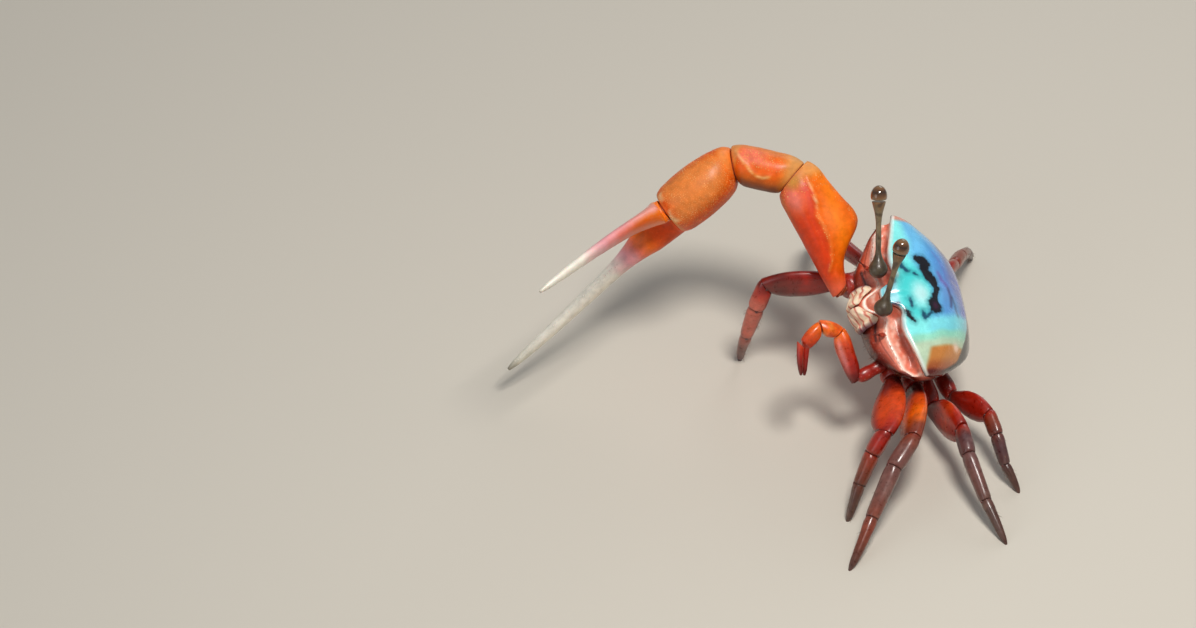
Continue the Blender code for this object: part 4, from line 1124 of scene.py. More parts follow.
bigClaw = {
    "crest": (0.93, 0.248, 0.275),
    "armSizes": [(0, 1.5, 1.5, 1.3, 1.6, 0), (0.10, 1.8, 1.8, 1.5, 1.8, 0), (0.20, 2.0, 2.1, 2.4, 2.0, 0),
                 (0.28, 2.2, 2.4, 3.9, 2.1, 0), (0.34, 2.3, 2.6, 5.2, 2.2, 0),
                 (0.41, 2.4, 2.8, 6.1, 2.3, 0),
                 (0.50, 2.5, 2.9, 6.2, 2.4, 0), (0.64, 2.5, 3.0, 5.4, 2.6, 0),
                 (0.80, 2.5, 3.0, 4.5, 2.8, 0),
                 (0.92, 2.4, 2.8, 3.9, 2.9, 0), (1, 2.0, 2.3, 3.0, 2.7, 0)],
    "armRidge": [(0.17, -0.56), (0.24, 0.46), (0.36, 1.0), (0.49, 1.21), (0.62, 1.11), (0.73, 1.65),
                 (0.87, 1.92),
                 (0.97, 1.90)],
    "ridgeHeight": 0.28,
    "wristLine": [(0.33, -0.5), (0.45, -0.85), (0.57, -0.75), (0.68, -0.2), (0.77, 0.45), (0.88, 1.15),
                  (1.0, 2.0)],
    "raised": (0, 0.669, 0.743),
    "wristSizes": evenSizes((0, 2.2, 2.5, 2.4), (0.12, 2.8, 3.0, 2.6), (0.4, 3.3, 3.2, 2.7),
                            (0.7, 3.4, 3.2, 2.7), (0.9, 3.2, 3.0, 2.6), (1, 2.6, 2.6, 2.3)),
    "towards": (0, -0.743, 0.669),
    "palmSizes": [(0, 2.4, 2.3, 2.7, 2.5, 0), (0.07, 3.1, 2.8, 3.6, 3.4, 0), (0.2, 3.6, 3.2, 4.6, 4.4, 0),
                  (0.4, 3.9, 3.5, 5.3, 5.1, 0), (0.62, 3.9, 3.7, 5.6, 5.5, 0), (0.8, 3.7, 3.7, 5.5, 5.5, 0),
                  (0.92, 3.45, 3.6, 5.2, 5.5, 0), (1, 3.05, 3.3, 4.6, 5.35, 0)],
    "pollexSizes": [(0.0, 2.5, 2.2, 2.4), (0.06, 2.0, 2.1, 2.25), (0.16, 1.4, 1.9, 2.0),
                    (0.3, 1.05, 1.8, 1.8),
                    (0.45, 0.95, 1.7, 1.6), (0.6, 0.85, 1.5, 1.4), (0.75, 0.75, 1.25, 1.15),
                    (0.88, 0.6, 0.95, 0.85), (0.96, 0.42, 0.6, 0.5), (1.0, 0.22, 0.28, 0.22)],
    "pollexSag": -0.9,
    "hingeMarks": [[(-2.3, 4.1, 1.0), (-0.65, 5.0, 0.7)], [(1.2, 4.9, 0.6), (2.2, 4.2, 0.9)]],
    "fingerSizes": [(0.0, 1.7, 2.1, 2.2), (0.04, 1.75, 2.2, 2.2), (0.09, 1.5, 2.1, 2.2),
                    (0.18, 1.15, 2.0, 2.1),
                    (0.3, 0.95, 1.9, 2.0), (0.45, 0.85, 1.8, 1.8), (0.6, 0.75, 1.6, 1.5),
                    (0.75, 0.65, 1.3, 1.2),
                    (0.88, 0.52, 0.9, 0.85), (0.96, 0.38, 0.55, 0.5), (1.0, 0.2, 0.26, 0.22)],
}

hand = unit(place("majorPalmEnd") - place("majorWrist"))
handUp = unit(np.array(bigClaw["towards"]) - hand * (np.array(bigClaw["towards"]) @ hand))
roll = math.radians(stance["palmRoll"])
handUp = math.cos(roll) * handUp + math.sin(roll) * np.cross(hand, handUp)
handOut = np.cross(hand, handUp)
pollexAlong = unit(place("pollexTip") - place("pollexBase"))
pollexRise = unit(handUp - pollexAlong * (handUp @ pollexAlong))
pollexSide = np.cross(pollexAlong, pollexRise)


def pollexCentre(share):
    return (place("pollexBase") + (place("pollexTip") - place("pollexBase")) * share
            + pollexRise * bigClaw["pollexSag"] * math.sin(math.pi * share))


fingerRoot = place("majorPalmEnd") + hand * (2 * seam + 0.2) + handUp * stance["fingerRise"] + handOut * 0.2
fingerRise = unit(handUp - unit(place("fingerTip") - fingerRoot)
                  * (handUp @ unit(place("fingerTip") - fingerRoot)))


def fingerCentre(share):
    return (fingerRoot + (place("fingerTip") - fingerRoot) * share
            + fingerRise * stance["fingerArch"] * math.sin(math.pi * share ** 0.8))


def fingerRings(sizes, centre, frameAt, shares, count=28, power=2.2):
    table = np.array(sizes)
    rings = []
    for share in shares:
        wide, above, below = (float(curve(table[:, (0, k)], share)) for k in (1, 2, 3))
        across, rise = frameAt(share)
        offsets = section((wide, wide, above, below), count, power)
        rings.append(centre(share) + offsets[:, :1] * across + offsets[:, 1:] * rise)
    return rings


def pollexFrame(share):
    return pollexSide, pollexRise


def fingerFrame(share):
    turn = min(1, share / 0.15)
    along = unit((1 - turn) * hand + turn * unit(fingerCentre(share + 0.01) - fingerCentre(share)))
    ringUp = unit(handUp - along * (handUp @ along))
    return np.cross(along, ringUp), ringUp


def pollexShares(points):
    line = place("pollexTip") - place("pollexBase")
    return (points - place("pollexBase")) @ line / (line @ line)


def buildBigClaw():
    base, elbow, wrist, palmEnd = (place(n) for n in ("majorBase", "majorElbow", "majorWrist",
                                                      "majorPalmEnd"))
    crest = unit(bigClaw["crest"])

    # Arm, three-sided, with an arched crest towards the body.
    planes = basePlane("major", base, elbow), between(base, elbow, wrist), between(elbow, wrist, palmEnd)
    rings = limbRings(base, elbow, crest, bigClaw["armSizes"], planes[0], planes[1], count=40, power=1.8,
                      steps=44)
    piece = growPiece("clawArm", roundedRings(rings, 0.2))
    points, share, across, up = sharesOf(piece, base, elbow, crest)
    length = np.linalg.norm(elbow - base)
    ridge = [(x * length, y, 1 - 0.5 * abs(x - 0.6)) for x, y in bigClaw["armRidge"]]
    outside = ease(0.0, -1.0, across)
    crestLine = strokeMask(share * length, up, ridge, 0.22, 0.9) * outside
    movePoints(piece, points + normalsOf(piece) * (crestLine * bigClaw["ridgeHeight"])[:, None])
    wobble = 0.4 * ripple(points, 2.5, 61) + 0.2 * ripple(points, 0.9, 60)
    level = up - curve(bigClaw["armRidge"], share) + 0.5 * wobble
    colours = ramp(level, [(-2.6, "redOrange"), (-0.6, "redOrange"), (0.4, "orange"), (2.2, "hotOrange"),
                           (4.4, "orange"), (6.0, "ochre")])
    # The inner face takes a ramp that darkens towards its lower edge: painted shade.
    shaded = ramp(up + wobble, [(-2.6, "clawShade"), (-0.5, "ochre"), (1.5, "orange"), (5.0, "orange"),
                                (6.2, "ochre")])
    inside = ease(0.2, 1.4, across)[:, None]
    colours = colours * (1 - inside) + shaded * inside
    colours = coats(
        colours,
        (ease(0.34, 0.0, share) * 0.85, "redOrange"),
        (ease(0.16, 0.0, share) * 0.6, "rosePink"),
        (blobMask(share, up, (0.84, -1.1), (0.13, 1.4), 0.7) * outside, "rosePink"),
        (ease(0.90, 1.0, share) * 0.8, "sand"),
        (blobMask(share, up, (0.95, -0.1), (0.05, 1.0), 0.8) * 0.45 * outside, "moss"))
    thin = strokeMask(share * length, up + 0.15 * wobble, ridge, 0.12, 0.45) * outside
    colours = coats(
        colours,
        (thin * 0.8, "ridge"),
        (thin * ease(0.66, 0.8, share) * ease(-0.4, 0.2, ripple(points, 0.8, 59)), "paleSeam"),
        (ease(-2.0, -2.9, up) * outside * 0.6, "sand"))
    dress(piece, colours, "clawSatin", ["major_merus"])

    rings = limbRings(elbow, wrist, bigClaw["raised"], bigClaw["wristSizes"], planes[1], planes[2],
                      count=40, steps=28)
    piece = growPiece("clawWrist", roundedRings(rings, 0.25))
    points, share, across, up = sharesOf(piece, elbow, wrist, bigClaw["raised"])
    wobble = 0.3 * ripple(points, 1.8, 62)
    facing = ease(0.6, -0.6, across)
    # Darker towards the underside as painted shade, paler on top, partly the wrist's own tone and partly
    # painted light.
    colours = ramp(up + wobble, [(-2.6, "clawShade"), (-1.4, "palmShade"), (0.0, "palmMid"), (1.8, "palmMid"),
                                 (3.0, "palmTop")])
    colours = brush(colours, blobMask(share, up, (0.72, 1.8), (0.30, 1.1), 0.6) * facing * 0.85, "rosePink")
    colours = brush(colours, ease(0.25, 0.0, share) * 0.85, "elbowTan")
    reach = np.linalg.norm(wrist - elbow)
    line = [(x * reach, y, 1.0) for x, y in bigClaw["wristLine"]]
    fold = strokeMask(share * reach, up, line, 0.16, 0.45) * facing
    movePoints(piece, points + normalsOf(piece) * (0.16 * strokeMask(share * reach, up, line, 0.2, 0.8)
                                                   * facing)[:, None])
    colours = brush(colours, fold * ease(-0.6, 0.2, ripple(points, 0.9, 58)) * 0.75, "paleSeam")
    colours = brush(colours, ease(0.92, 0.98, share) * 0.6, "elbowTan")
    dress(piece, colours, "clawSatin", ["major_carpus"])

    # Palm with its fixed finger.
    rings = limbRings(wrist, palmEnd, handUp, bigClaw["palmSizes"], planes[2], hand, (seam, 0), count=44,
                      steps=40)
    rings = roundedRings(rings, 0.2)[:-3]
    lowered = section((2.5, 2.9, 2.1, 2.3), 44, 2.3)
    drop = palmEnd + hand * 0.28 - handUp * 2.9 + lowered[:, :1] * handOut + lowered[:, 1:] * handUp
    last = rings[-1]
    rings += [last * (1 - k) + drop * k + hand * 0.12 * math.sin(math.pi * k) for k in (0.35, 0.7)] + [drop]
    finger = fingerRings(bigClaw["pollexSizes"], pollexCentre, pollexFrame, np.linspace(0, 1, 56), 44)
    rings += finger + closeEnd(finger[-1], -pollexAlong, 0.08)[1:]
    piece = growPiece("clawPalm", rings)
    points, share, across, up = sharesOf(piece, wrist, palmEnd, handUp)
    out = pollexShares(points)
    wobble = 0.5 * ripple(points, 2.4, 63)
    # Darker towards the underside as painted shade, paler on top, partly the pale granules and partly painted
    # light.
    colours = ramp(up + wobble, [(-5.5, "clawShade"), (-3.8, "palmShade"), (-1.8, "palmMid"), (2.6, "palmMid"),
                                 (4.6, "palmTop"),
                                 (5.6, "palmTop")])
    colours = coats(
        colours,
        (blobMask(share, up, (0.55, 0.4), (0.5, 2.4), 0.8) * 0.3, "redOrange"),
        (ease(0.10, 0.02, share) * 0.3, "paleSeam"),
        (ease(0.80, 1.0, share) * 0.45, "redOrange"),
        (ease(0.945, 0.97, share) * ease(-0.5, 1.0, up) * 0.6, "elbowTan"))
    for mark in bigClaw["hingeMarks"]:
        colours = brush(colours, strokeMask(across, up, mark, 0.22, 0.4) * ease(0.86, 0.91, share) * 0.9,
                        "paleSeam")
    fixed = ramp(out + 0.03 * ripple(points, 1.5, 64), [(-0.05, "palmMid"), (0.03, "orange"),
                                                        (0.09, "rosePink"), (0.16, "petal"),
                                                        (0.27, "cream"), (0.75, "cream"), (0.92, "bone"),
                                                        (1.0, "stone")])
    colours = np.where((ease(-0.04, 0.03, out))[:, None] > 0,
                       colours * (1 - ease(-0.04, 0.03, out))[:, None]
                       + fixed * ease(-0.04, 0.03, out)[:, None], colours)
    dress(piece, colours, "clawSatin", ["major_palm"])

    # Movable finger.
    rings = fingerRings(bigClaw["fingerSizes"], fingerCentre, fingerFrame, np.linspace(0, 1, 60))
    rings.insert(0, rings[0] - hand * 0.42)
    piece = growPiece("clawFinger", roundedRings(rings, 0.08))
    points = pointsOf(piece)
    line = place("fingerTip") - fingerRoot
    out = (points - fingerRoot) @ line / (line @ line)
    arch = stance["fingerArch"] * np.sin(np.pi * np.clip(out, 0, 1) ** 0.8)
    offset = points - fingerRoot - out[:, None] * line - arch[:, None] * fingerRise
    top = ease(0.3, 1.3, offset @ np.array(bigClaw["raised"]) + 0.2 * ripple(points, 1.4, 67))
    colours = ramp(out + 0.03 * ripple(points, 1.5, 65),
                   [(0.0, "hotOrange"), (0.24, "orange"), (0.40, "rosePink"), (0.56, "petal"),
                                                          (0.72, "cream"), (0.94, "cream"), (1.0, "bone")])
    # The finger's upper edge is brushed paler pink from its base to about three quarters of its length:
    # painted highlight.
    colours = brush(colours, top * ease(0.0, 0.12, out) * ease(0.75, 0.45, out) * 0.8, "petal")
    colours = brush(colours, ease(0.03, 0.0, out) * 0.6, "palmTop")
    dress(piece, colours, "fingerPolish", ["major_finger"])

    sleeves = [hingeTube(base, base - onBody(*chelipedCoxa["major"]), elbow - base, crest,
                         (1.7, 1.7, 1.6, 1.8)),
               hingeTube(elbow, elbow - base, wrist - elbow, np.array(bigClaw["raised"]),
                         (2.4, 2.4, 2.7, 2.5), 1.2),
               hingeTube(wrist, wrist - elbow, hand, handUp, (2.6, 2.6, 2.8, 2.6), 1.2),
               hingeTube(fingerRoot - hand * 0.3, hand, hand, handUp, (1.6, 1.6, 1.9, 1.9), 0.6)]
    dressHinges("clawHinges", sleeves, "rust")


bigClawGrain = {"palmBeads": 1500, "wristBeads": 380, "armBeads": 260, "beadSize": 0.085,
                "beadHeight": 0.035,
                "fingerTeeth": 40, "pollexTeeth": 44, "toothSize": 0.13}


def buildClawGrain():
    wrist, palmEnd, base, elbow = (place(n) for n in ("majorWrist", "majorPalmEnd", "majorBase",
                                                      "majorElbow"))
    draw = random.Random(5)

    def onPalm(points):
        share, across, up = limbShares(points, wrist, palmEnd, handUp)
        return (share > 0.04) * (share < 0.97) * (0.25 + 1.2 * ease(-1.0, 4.0, up))

    def onWrist(points):
        share, across, up = limbShares(points, elbow, wrist, bigClaw["raised"])
        return (share > 0.08) * (share < 0.92) * (up > 0.2)

    def onArm(points):
        # Along the crest, the outer ridge and the elbow.
        share, across, up = limbShares(points, base, elbow, bigClaw["crest"])
        length = np.linalg.norm(elbow - base)
        ridge = [(x * length, y, 1.0) for x, y in bigClaw["armRidge"]]
        top = curve(np.array(bigClaw["armSizes"])[:, (0, 3)], share)
        return (strokeMask(share * length, up, ridge, 0.3, 0.3) * (across < 0) + ease(0.86, 0.95, up / top)
                + 0.5 * (share > 0.85)) * (share > 0.16) * (share < 0.98)

    beads = []
    for name, count, keep, apart in (("clawPalm", bigClawGrain["palmBeads"], onPalm, 0.22),
                                     ("clawWrist", bigClawGrain["wristBeads"], onWrist, 0.24),
                                     ("clawArm", bigClawGrain["armBeads"], onArm, 0.24)):
        for at, out in spotsOn(bpy.data.objects[name], count, 17, keep, apart):
            beads.append(standAt(at - out * 0.01, out, size=draw.uniform(0.6, 1.3)))
    piece = scatterCopies("clawBeads", dome("bead", bigClawGrain["beadSize"], bigClawGrain["beadHeight"]),
                          beads)
    colours = ramp(drift(pointsOf(piece), 1.5, 66), [(0, "palmTop"), (0.6, "granule"), (1, "paleSeam")])
    dress(piece, colours, "clawSatin", [])

    teeth = []
    for count, sizes, centre, frameAt, sign in ((bigClawGrain["fingerTeeth"], "fingerSizes", fingerCentre,
                                                 fingerFrame, -1),
                                                (bigClawGrain["pollexTeeth"], "pollexSizes", pollexCentre,
                                                 pollexFrame, 1)):
        table = np.array(bigClaw[sizes])
        for k in range(count):
            share = 0.22 + 0.74 * k / count
            across, rise = frameAt(share)
            reach = float(curve(table[:, (0, 2 if sign > 0 else 3)], share))
            big = 1.8 if k in (count // 3, int(count * 0.62)) else draw.uniform(0.75, 1.2)
            at = centre(share) + rise * sign * (reach - 0.05) + across * draw.uniform(-0.12, 0.12)
            teeth.append(standAt(at, rise * sign, size=big * (1.2 - 0.6 * share)))
    piece = scatterCopies("clawTeeth", dome("tooth", bigClawGrain["toothSize"],
                                            bigClawGrain["toothSize"] * 1.25), teeth)
    out = (pointsOf(piece) - fingerRoot) @ hand
    colours = ramp(out, [(0, "rosePink"), (7, "petal"), (13, "cream"), (30, "cream")])
    dress(piece, colours, "fingerPolish", [])


# The small claw.

smallClaw = {
    "raised": (-0.6, 0.5, 0.6), "handRaised": (-0.8, -0.5, 0.3),
    "arm": evenSizes((0, 0.8, 0.8, 0.8), (0.1, 0.95, 1.0, 1.0), (0.5, 1.05, 1.3, 1.2),
                     (0.88, 1.0, 1.25, 1.2), (1, 0.8, 1.0, 0.95)),
    "wrist": evenSizes((0, 0.75, 0.9, 0.85), (0.3, 0.95, 1.2, 1.0), (0.75, 0.95, 1.2, 1.0),
                       (1, 0.75, 0.95, 0.85)),
    "palm": evenSizes((0, 0.7, 0.85, 0.8), (0.2, 0.85, 1.1, 1.0), (0.7, 0.85, 1.2, 1.15),
                      (1, 0.7, 1.0, 1.1)),
    "fixed": [(0, 0.52), (0.3, 0.45), (0.65, 0.38), (0.9, 0.28), (1.0, 0.14)],
    "finger": evenSizes((0, 0.5, 0.5, 0.38), (0.3, 0.45, 0.45, 0.38, 0.18), (0.65, 0.38, 0.38, 0.34, 0.18),
                        (0.9, 0.27, 0.28, 0.25), (1, 0.14, 0.14, 0.14)),
}


def buildSmallClaw():
    base, elbow, wrist, palmEnd, tip = (place("minor" + n)
                                        for n in ("Base", "Elbow", "Wrist", "PalmEnd", "Tip"))
    planes = basePlane("minor", base, elbow), between(base, elbow, wrist), between(elbow, wrist, palmEnd)
    raised = smallClaw["raised"]
    piece = growPiece("smallArm",
                      roundedRings(limbRings(base, elbow, raised, smallClaw["arm"], planes[0], planes[1])))
    points, share, across, up = sharesOf(piece, base, elbow, raised)
    colours = ramp(share + 0.06 * ripple(points, 1, 71),
                   [(0, "maroon"), (0.35, "crimson"), (0.8, "flame"), (1, "orange")])
    # A pale petal patch on top of the small claw's arm: painted highlight.
    colours = brush(colours, blobMask(share, up, (0.55, 0.4), (0.35, 0.45), 0.8) * 0.6, "petal")
    dress(piece, colours, "legGloss", ["minor_merus"])
    piece = growPiece("smallWrist", roundedRings(limbRings(elbow, wrist, raised, smallClaw["wrist"],
                                                           planes[1], planes[2])))
    points = pointsOf(piece)
    colours = ramp(drift(points, 0.9, 72), [(0, "flame"), (0.6, "orange"), (1, "sand")])
    dress(piece, colours, "legGloss", ["minor_carpus"])

    hand = unit(palmEnd - wrist)
    raised = np.array(smallClaw["handRaised"])
    up = unit(raised - hand * (raised @ hand))
    rings = limbRings(wrist, palmEnd, up, smallClaw["palm"], planes[2], hand, (seam, 0))
    rings = roundedRings(rings)[:-3]
    along = unit(tip - palmEnd)
    rise = unit(up - along * (up @ along))
    across = np.cross(along, rise)
    root, end = palmEnd + hand * 0.3 - up * 0.66, tip - rise * 0.45
    for share in np.linspace(0, 1, 24):
        size = float(curve(smallClaw["fixed"], share))
        ring = section((size,) * 4, 28, 2.2)
        rings.append(root + (end - root) * share + ring[:, :1] * across + ring[:, 1:] * rise)
    piece = growPiece("smallPalm", rings + closeEnd(rings[-1], -along, 0.06)[1:])
    points = pointsOf(piece)
    share = (points - wrist) @ unit(tip - wrist) / np.linalg.norm(tip - wrist)
    colours = ramp(share + 0.08 * ripple(points, 0.9, 73),
                   [(0, "orange"), (0.3, "flame"), (0.6, "crimson"), (1, "maroon")])
    dress(piece, colours, "legGloss", ["minor_palm"])
    root, end = palmEnd + hand * 0.36 + up * 0.84, tip + rise * 0.35
    rings = limbRings(root, end, rise, smallClaw["finger"], hand, unit(end - root), (seam, 0), steps=26)
    piece = growPiece("smallFinger", roundedRings(rings, 0.06))
    points = pointsOf(piece)
    share = (points - wrist) @ unit(tip - wrist) / np.linalg.norm(tip - wrist)
    colours = ramp(share + 0.08 * ripple(points, 0.9, 73),
                   [(0.4, "flame"), (0.65, "crimson"), (1, "maroon")])
    dress(piece, colours, "legGloss", ["minor_finger"])
    lift = np.array(smallClaw["raised"])
    sleeves = [hingeTube(base, base - onBody(*chelipedCoxa["minor"]), elbow - base, lift, (0.8,) * 4, 0.6),
               hingeTube(elbow, elbow - base, wrist - elbow, lift, (0.8, 0.8, 0.95, 0.9), 0.5),
               hingeTube(wrist, wrist - elbow, hand, lift, (0.7, 0.7, 0.85, 0.8), 0.4)]
    dressHinges("smallClawHinges", sleeves, "maroon")


# Walking legs.

legSizes = {
    "merus": evenSizes((0, 0.85, 1.1, 1.1), (0.05, 0.98, 1.3, 1.25), (0.14, 1.0, 1.6, 1.5),
                       (0.3, 1.08, 2.2, 2.0), (0.52, 1.15, 2.6, 2.4), (0.72, 1.15, 2.5, 2.35),
                       (0.88, 1.1, 1.95, 2.1), (0.96, 1.05, 1.55, 1.8), (1, 0.98, 1.35, 1.55)),
    "carpus": evenSizes((0, 0.95, 1.25, 1.15), (0.10, 1.08, 1.42, 1.22), (0.4, 1.15, 1.5, 1.25),
                        (0.8, 1.15, 1.48, 1.3), (0.93, 1.1, 1.4, 1.25), (1, 1.0, 1.25, 1.12)),
    "propodus": evenSizes((0, 0.96, 1.16, 1.12), (0.07, 1.03, 1.26, 1.22), (0.4, 1.02, 1.25, 1.2),
                          (0.8, 0.94, 1.1, 1.07), (0.94, 0.9, 1.02, 1.0), (1, 0.82, 0.92, 0.9)),
    "dactyl": evenSizes((0, 0.76, 0.86, 0.84), (0.08, 0.84, 0.95, 0.92), (0.35, 0.76, 0.86, 0.84, 0.12),
                        (0.7, 0.62, 0.68, 0.68, 0.12), (0.9, 0.46, 0.5, 0.5, 0.04), (1, 0.3, 0.32, 0.32)),
}

# Lengthwise ridges (above 0) and furrows (below 0) of each leg part, as (angle, half width, height in mm).
legFlutes = {
    "merus": [(1.57, 0.22, 0.10), (-1.57, 0.25, 0.07), (2.45, 0.25, -0.05), (0.70, 0.25, -0.05)],
    "carpus": [(1.57, 0.3, 0.05), (2.5, 0.25, -0.07), (0.65, 0.25, -0.07)],
    "propodus": [(2.6, 0.25, -0.08), (0.55, 0.25, -0.08), (1.57, 0.3, 0.04)],
    "dactyl": [(2.7, 0.3, -0.09), (0.45, 0.3, -0.09), (-2.7, 0.3, -0.07), (-0.45, 0.3, -0.07)],
}

# Colours down each leg: thigh from hip to knee, then the three lower parts. The near legs left_1 to left_3
# stay dark near the hip: painted shadow of the body.
legPaint = {
    "left_1": [(0, "oxblood"), (0.18, "maroon"), (0.42, "flame"), (0.75, "flame"), (0.98, "crimson"),
               (1.4, "crimson"), (2.4, "chestnut"), (3.4, "umber"), (4, "umber")],
    "left_2": [(0, "oxblood"), (0.18, "maroon"), (0.4, "flame"), (0.68, "orange"), (0.95, "chestnut"),
               (1.5, "mauve"), (2.5, "mauve"), (3.3, "chestnut"), (4, "umber")],
    "left_3": [(0, "oxblood"), (0.2, "maroon"), (0.42, "crimson"), (0.65, "flame"), (0.95, "crimson"),
               (1.4, "plum"), (2.5, "mauve"), (3.3, "umber"), (4, "umber")],
    "left_4": [(0, "maroon"), (0.4, "crimson"), (0.9, "crimson"), (1.4, "chestnut"), (2.4, "plum"),
               (3.4, "umber"), (4, "umber")],
    "right_1": [(0, "maroon"), (0.4, "crimson"), (0.85, "maroon"), (1.2, "crimson"), (1.7, "pinkShin"),
                (2.8, "pinkShin"), (3.5, "mauve"), (4, "plum")],
    "right_2": [(0, "maroon"), (0.5, "crimson"), (1.2, "crimson"), (2.0, "chestnut"), (3.2, "mauve"),
                (4, "umber")],
    "right_3": [(0, "maroon"), (0.5, "crimson"), (1.2, "crimson"), (2.0, "chestnut"), (3.2, "mauve"),
                (4, "umber")],
    "right_4": [(0, "maroon"), (0.5, "crimson"), (1.2, "chestnut"), (2.0, "chestnut"), (3.2, "plum"),
                (4, "umber")],
}


def legFrame(name):
    plan = legPlan[name]
    joints = [np.array(joint, float) for joint in plan["joints"]]
    thigh, shin = unit(joints[1] - joints[0]), unit(joints[4] - joints[1])
    out = unit(thigh - shin * (thigh @ shin))
    up = unit(-shin - thigh * (-shin @ thigh))
    twist = math.radians(plan["thigh"][2])
    up = math.cos(twist) * up + math.sin(twist) * np.cross(thigh, up)
    planes = [between(onBody(*plan["coxa"]), joints[0], joints[1])] + [between(*joints[i:i + 3])
                                                                       for i in range(3)]
    return joints, [up, out, out, out], planes + [np.array((0, 0, -1.0))]


def buildLeg(name):
    scale, (wide, high, _) = legPlan[name]["scale"], legPlan[name]["thigh"]
    joints, tops, planes = legFrame(name)
    for i, part in enumerate(("merus", "carpus", "propodus", "dactyl")):
        sizes = np.array(legSizes[part]) * (1, scale, scale, scale, scale, scale)
        if part == "merus":
            sizes = sizes * (1, wide, wide, high, high, high)
        gaps = (fit, 0 if part == "dactyl" else fit)

        def flutes(share, angle):
            lift = np.zeros_like(angle)
            for middle, width, height in legFlutes[part]:
                away = np.abs((angle - middle + math.pi) % (2 * math.pi) - math.pi)
                lift += height * np.exp(-(away / width) ** 2)
            return lift * scale * math.sin(math.pi * min(1, max(0, share))) ** 0.5

        rings = limbRings(joints[i], joints[i + 1], tops[i], sizes, planes[i], planes[i + 1], gaps,
                          count=36,
                          relief=flutes)
        piece = growPiece("leg_" + name + "_" + part + "_shell",
                          roundedRings(rings, 0.07 if part != "dactyl" else 0.05))
        points, share, across, up = sharesOf(piece, joints[i], joints[i + 1], tops[i])
        grain = 0.12 * ripple(points, 1.3, 81 + i)
        colours = ramp(i + np.clip(share, 0, 1) + grain, legPaint[name])
        # Each part is darker on its side facing down or in towards the body: painted shade.
        colours = brush(colours, ease(-0.2, -1.6, up) * 0.45, "maroon" if part == "merus" else "plum")
        colours = brush(colours, ease(0.05, 0.0, share) * 0.3 + ease(0.97, 1.0, share) * 0.25, "maroon"
                        if i < 2 else "umber")
        pale = ease(0.15, 0.6, ripple(points * (1, 1, 0.6), 1.1, 85)) * ease(0.7, 1.3, i + share)
        colours = brush(colours, pale * 0.10, "bone")
        dress(piece, colours, "legGloss", ["leg_" + name + "_" + part])
    ends = [onBody(*legPlan[name]["coxa"])] + joints
    sleeves = []
    for i, part in enumerate(("merus", "carpus", "propodus", "dactyl")):
        _, wide, _, high, low, _ = np.array(legSizes[part][0]) * scale
        sleeves.append(hingeTube(joints[i], ends[i + 1] - ends[i], ends[i + 2] - ends[i + 1], tops[i],
                                 (wide, wide, high, low), 0.5))
    dressHinges("leg_" + name + "_hinges", sleeves, "oxblood" if name[-1] in "13" else "plum")


knuckleSize = 0.27


def buildKnuckles():
    # The two pivots of each joint, at its front and back.
    knobs = []
    for name, plan in legPlan.items():
        joints, tops, planes = legFrame(name)
        for i, part in ((1, "carpus"), (2, "propodus"), (3, "dactyl")):
            axis, up, across = limbAxes(joints[i], joints[i + 1], tops[i])
            wide = legSizes[part][0][1] * plan["scale"]
            for sign in (-1, 1):
                knobs.append(standAt(joints[i] + across * sign * (wide * 0.99 - 0.02), across * sign,
                                     size=plan["scale"]))
    piece = scatterCopies("legKnuckles", dome("knob", knuckleSize, knuckleSize * 0.6, 12), knobs)
    colours = ramp(drift(pointsOf(piece), 2.0, 95), [(0, "oxblood"), (1, "plum")])
    dress(piece, colours, "legGloss", [])


# Beads along the lower edge of the eye sockets.
socketBeads = {"count": 46, "from": 0.09, "to": 0.43, "size": 0.085}


def buildSocketBeads():
    beads = []
    for sign in (-1, 1):
        for a in np.linspace(socketBeads["from"], socketBeads["to"], socketBeads["count"]):
            lipF, lipD, high = lipLevel(a)
            beads.append(standAt(onBody(lipF + 0.001, sign * a, lipD + 0.003 * math.sin(a * 190)),
                                 forwardAxis + 0.5 * backAxis,
                                 size=0.9 + 0.35 * math.sin(a * 260)))
    piece = scatterCopies("socketBeads", dome("bead", socketBeads["size"], socketBeads["size"]), beads)
    dress(piece, ramp(drift(pointsOf(piece), 1.5, 96), [(0, "salmon"), (1, "blush")]), "bodySatin", [])


# Bristles: how many on each part, their length and thickness in mm.
bristles = {"length": 0.62, "radius": 0.022, "propodus": 30, "dactyl": 26, "merus": 20, "coxae": 170,
            "face": 150,
            "smallPalm": 34, "smallFinger": 30}


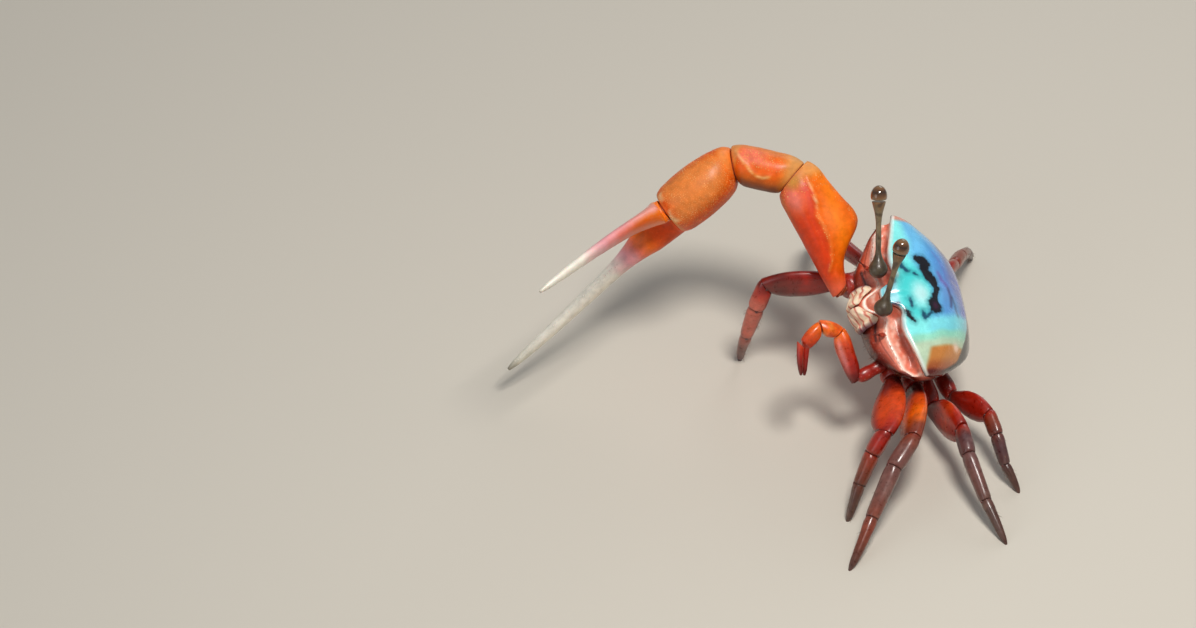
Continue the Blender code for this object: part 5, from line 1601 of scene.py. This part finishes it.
def buildBristles():
    draw = random.Random(9)
    tufts = []

    def sprout(piece, count, seed, keep, lie, size):
        for at, out in spotsOn(bpy.data.objects[piece], count, seed, keep):
            tufts.append(standAt(at - out * 0.03, out + 0.8 * unit(lie), lie, size * draw.uniform(0.6, 1.2),
                                 draw.uniform(-0.4, 0.4)))

    for name in legPlan:
        joints, tops, planes = legFrame(name)
        for i, part, edge in ((0, "merus", 1.3), (2, "propodus", 0.75), (3, "dactyl", 0.3)):
            def keep(points):
                share, across, up = limbShares(points, joints[i], joints[i + 1], tops[i])
                return ((up < -edge) + 0.35 * (up > edge)) * (share > 0.08) * (share < 0.93)

            sprout("leg_" + name + "_" + part + "_shell", bristles[part], 31 + i, keep,
                   joints[i + 1] - joints[i],
                   0.7 if i == 0 else 1.0)

    def onFace(points):
        f, s, d, lipF, lipD, below = belowLip(points)
        return (below > 0.45) * (below < 1.02) * (np.abs(s) > 0.15) * (f > -0.12)

    sprout("trunk", bristles["face"], 41, onFace, -backAxis, 0.8)
    sprout("coxae", bristles["coxae"], 43, lambda points: np.ones(len(points)), np.array((0, 0, -1.0)), 0.9)
    for piece in ("smallPalm", "smallFinger"):
        sprout(piece, bristles[piece], 47, lambda points: points[:, 2] < 16.5,
               place("minorTip") - place("minorPalmEnd"), 0.7)
    piece = scatterCopies("bristles", spike("bristle", bristles["radius"], bristles["length"]), tufts)
    colours = ramp(drift(pointsOf(piece), 0.8, 97), [(0, "umber"), (0.5, "hair"), (1, "sand")])
    dress(piece, colours, "hingeSkin", [])


# Studio.

studio = {
    "aim": (-23.37, -3.485, 19.43), "elevation": 42.0, "distance": 2000.0, "frameWidth": 168.9,
    "key": {"at": (70, -90, 330), "size": 90, "light": 0.72, "colour": (1.0, 0.97, 0.93)},
    "fill": {"at": (-260, -240, 160), "size": 240, "light": 0.12, "colour": (0.93, 0.96, 1.0)},
    "back": {"at": (120, 300, 200), "size": 200, "light": 0.12, "colour": (0.95, 0.97, 1.0)},
    "sky": 0.26, "floor": "#CFC8BB",
}


def buildStudio():
    scene = bpy.context.scene
    scene.view_settings.view_transform = "Standard"
    camera = bpy.data.objects.new("camera", bpy.data.cameras.new("camera"))
    scene.collection.objects.link(camera)
    scene.camera = camera
    tilt = math.radians(studio["elevation"])
    camera.data.sensor_width = 36
    camera.data.lens = 36 * studio["distance"] / studio["frameWidth"]
    camera.location = (np.array(studio["aim"]) + studio["distance"]
                       * np.array((0, -math.cos(tilt), math.sin(tilt)))) * mm
    camera.rotation_euler = (math.pi / 2 - tilt, 0, 0)
    camera.data.clip_start, camera.data.clip_end = 0.01, 10
    for name in ("key", "fill", "back"):
        plan = studio[name]
        lamp = bpy.data.lights.new(name, "AREA")
        lamp.shape = "DISK"
        lamp.size = plan["size"] * mm
        reach = np.linalg.norm(np.array(plan["at"])) * mm
        lamp.energy = plan["light"] * math.pi ** 2 * reach ** 2
        lamp.color = plan["colour"]
        light = bpy.data.objects.new(name, lamp)
        scene.collection.objects.link(light)
        light.location = Vector(plan["at"]) * mm
        light.rotation_euler = (-Vector(plan["at"])).to_track_quat("-Z", "Y").to_euler()
    world = bpy.data.worlds.new("studio")
    world.use_nodes = True
    world.node_tree.nodes["Background"].inputs["Color"].default_value = (0.9, 0.95, 1.0, 1)
    world.node_tree.nodes["Background"].inputs["Strength"].default_value = studio["sky"]
    scene.world = world
    clearSelection()
    bpy.ops.mesh.primitive_plane_add(size=4, location=(0, 0, 0))
    floor = bpy.context.object
    floor.name = "floor"
    material = bpy.data.materials.new("studioFloor")
    material.use_nodes = True
    shader = material.node_tree.nodes["Principled BSDF"]
    paints["floor"] = studio["floor"]
    shader.inputs["Base Color"].default_value = (*(paint("floor") ** seenToLight), 1)
    shader.inputs["Roughness"].default_value = 0.7
    floor.data.materials.append(material)


buildCarapace()
print("shell done")
buildTrunk()
buildCoxae()
buildAbdomen()
buildMouthparts()
buildEyes()
buildFeelers()
print("body done")
buildBigClaw()
buildClawGrain()
buildSmallClaw()
print("claws done")
for name in legPlan:
    buildLeg(name)
buildKnuckles()
print("legs done")
buildSocketBeads()
buildBristles()
print("bristles done")
buildStudio()
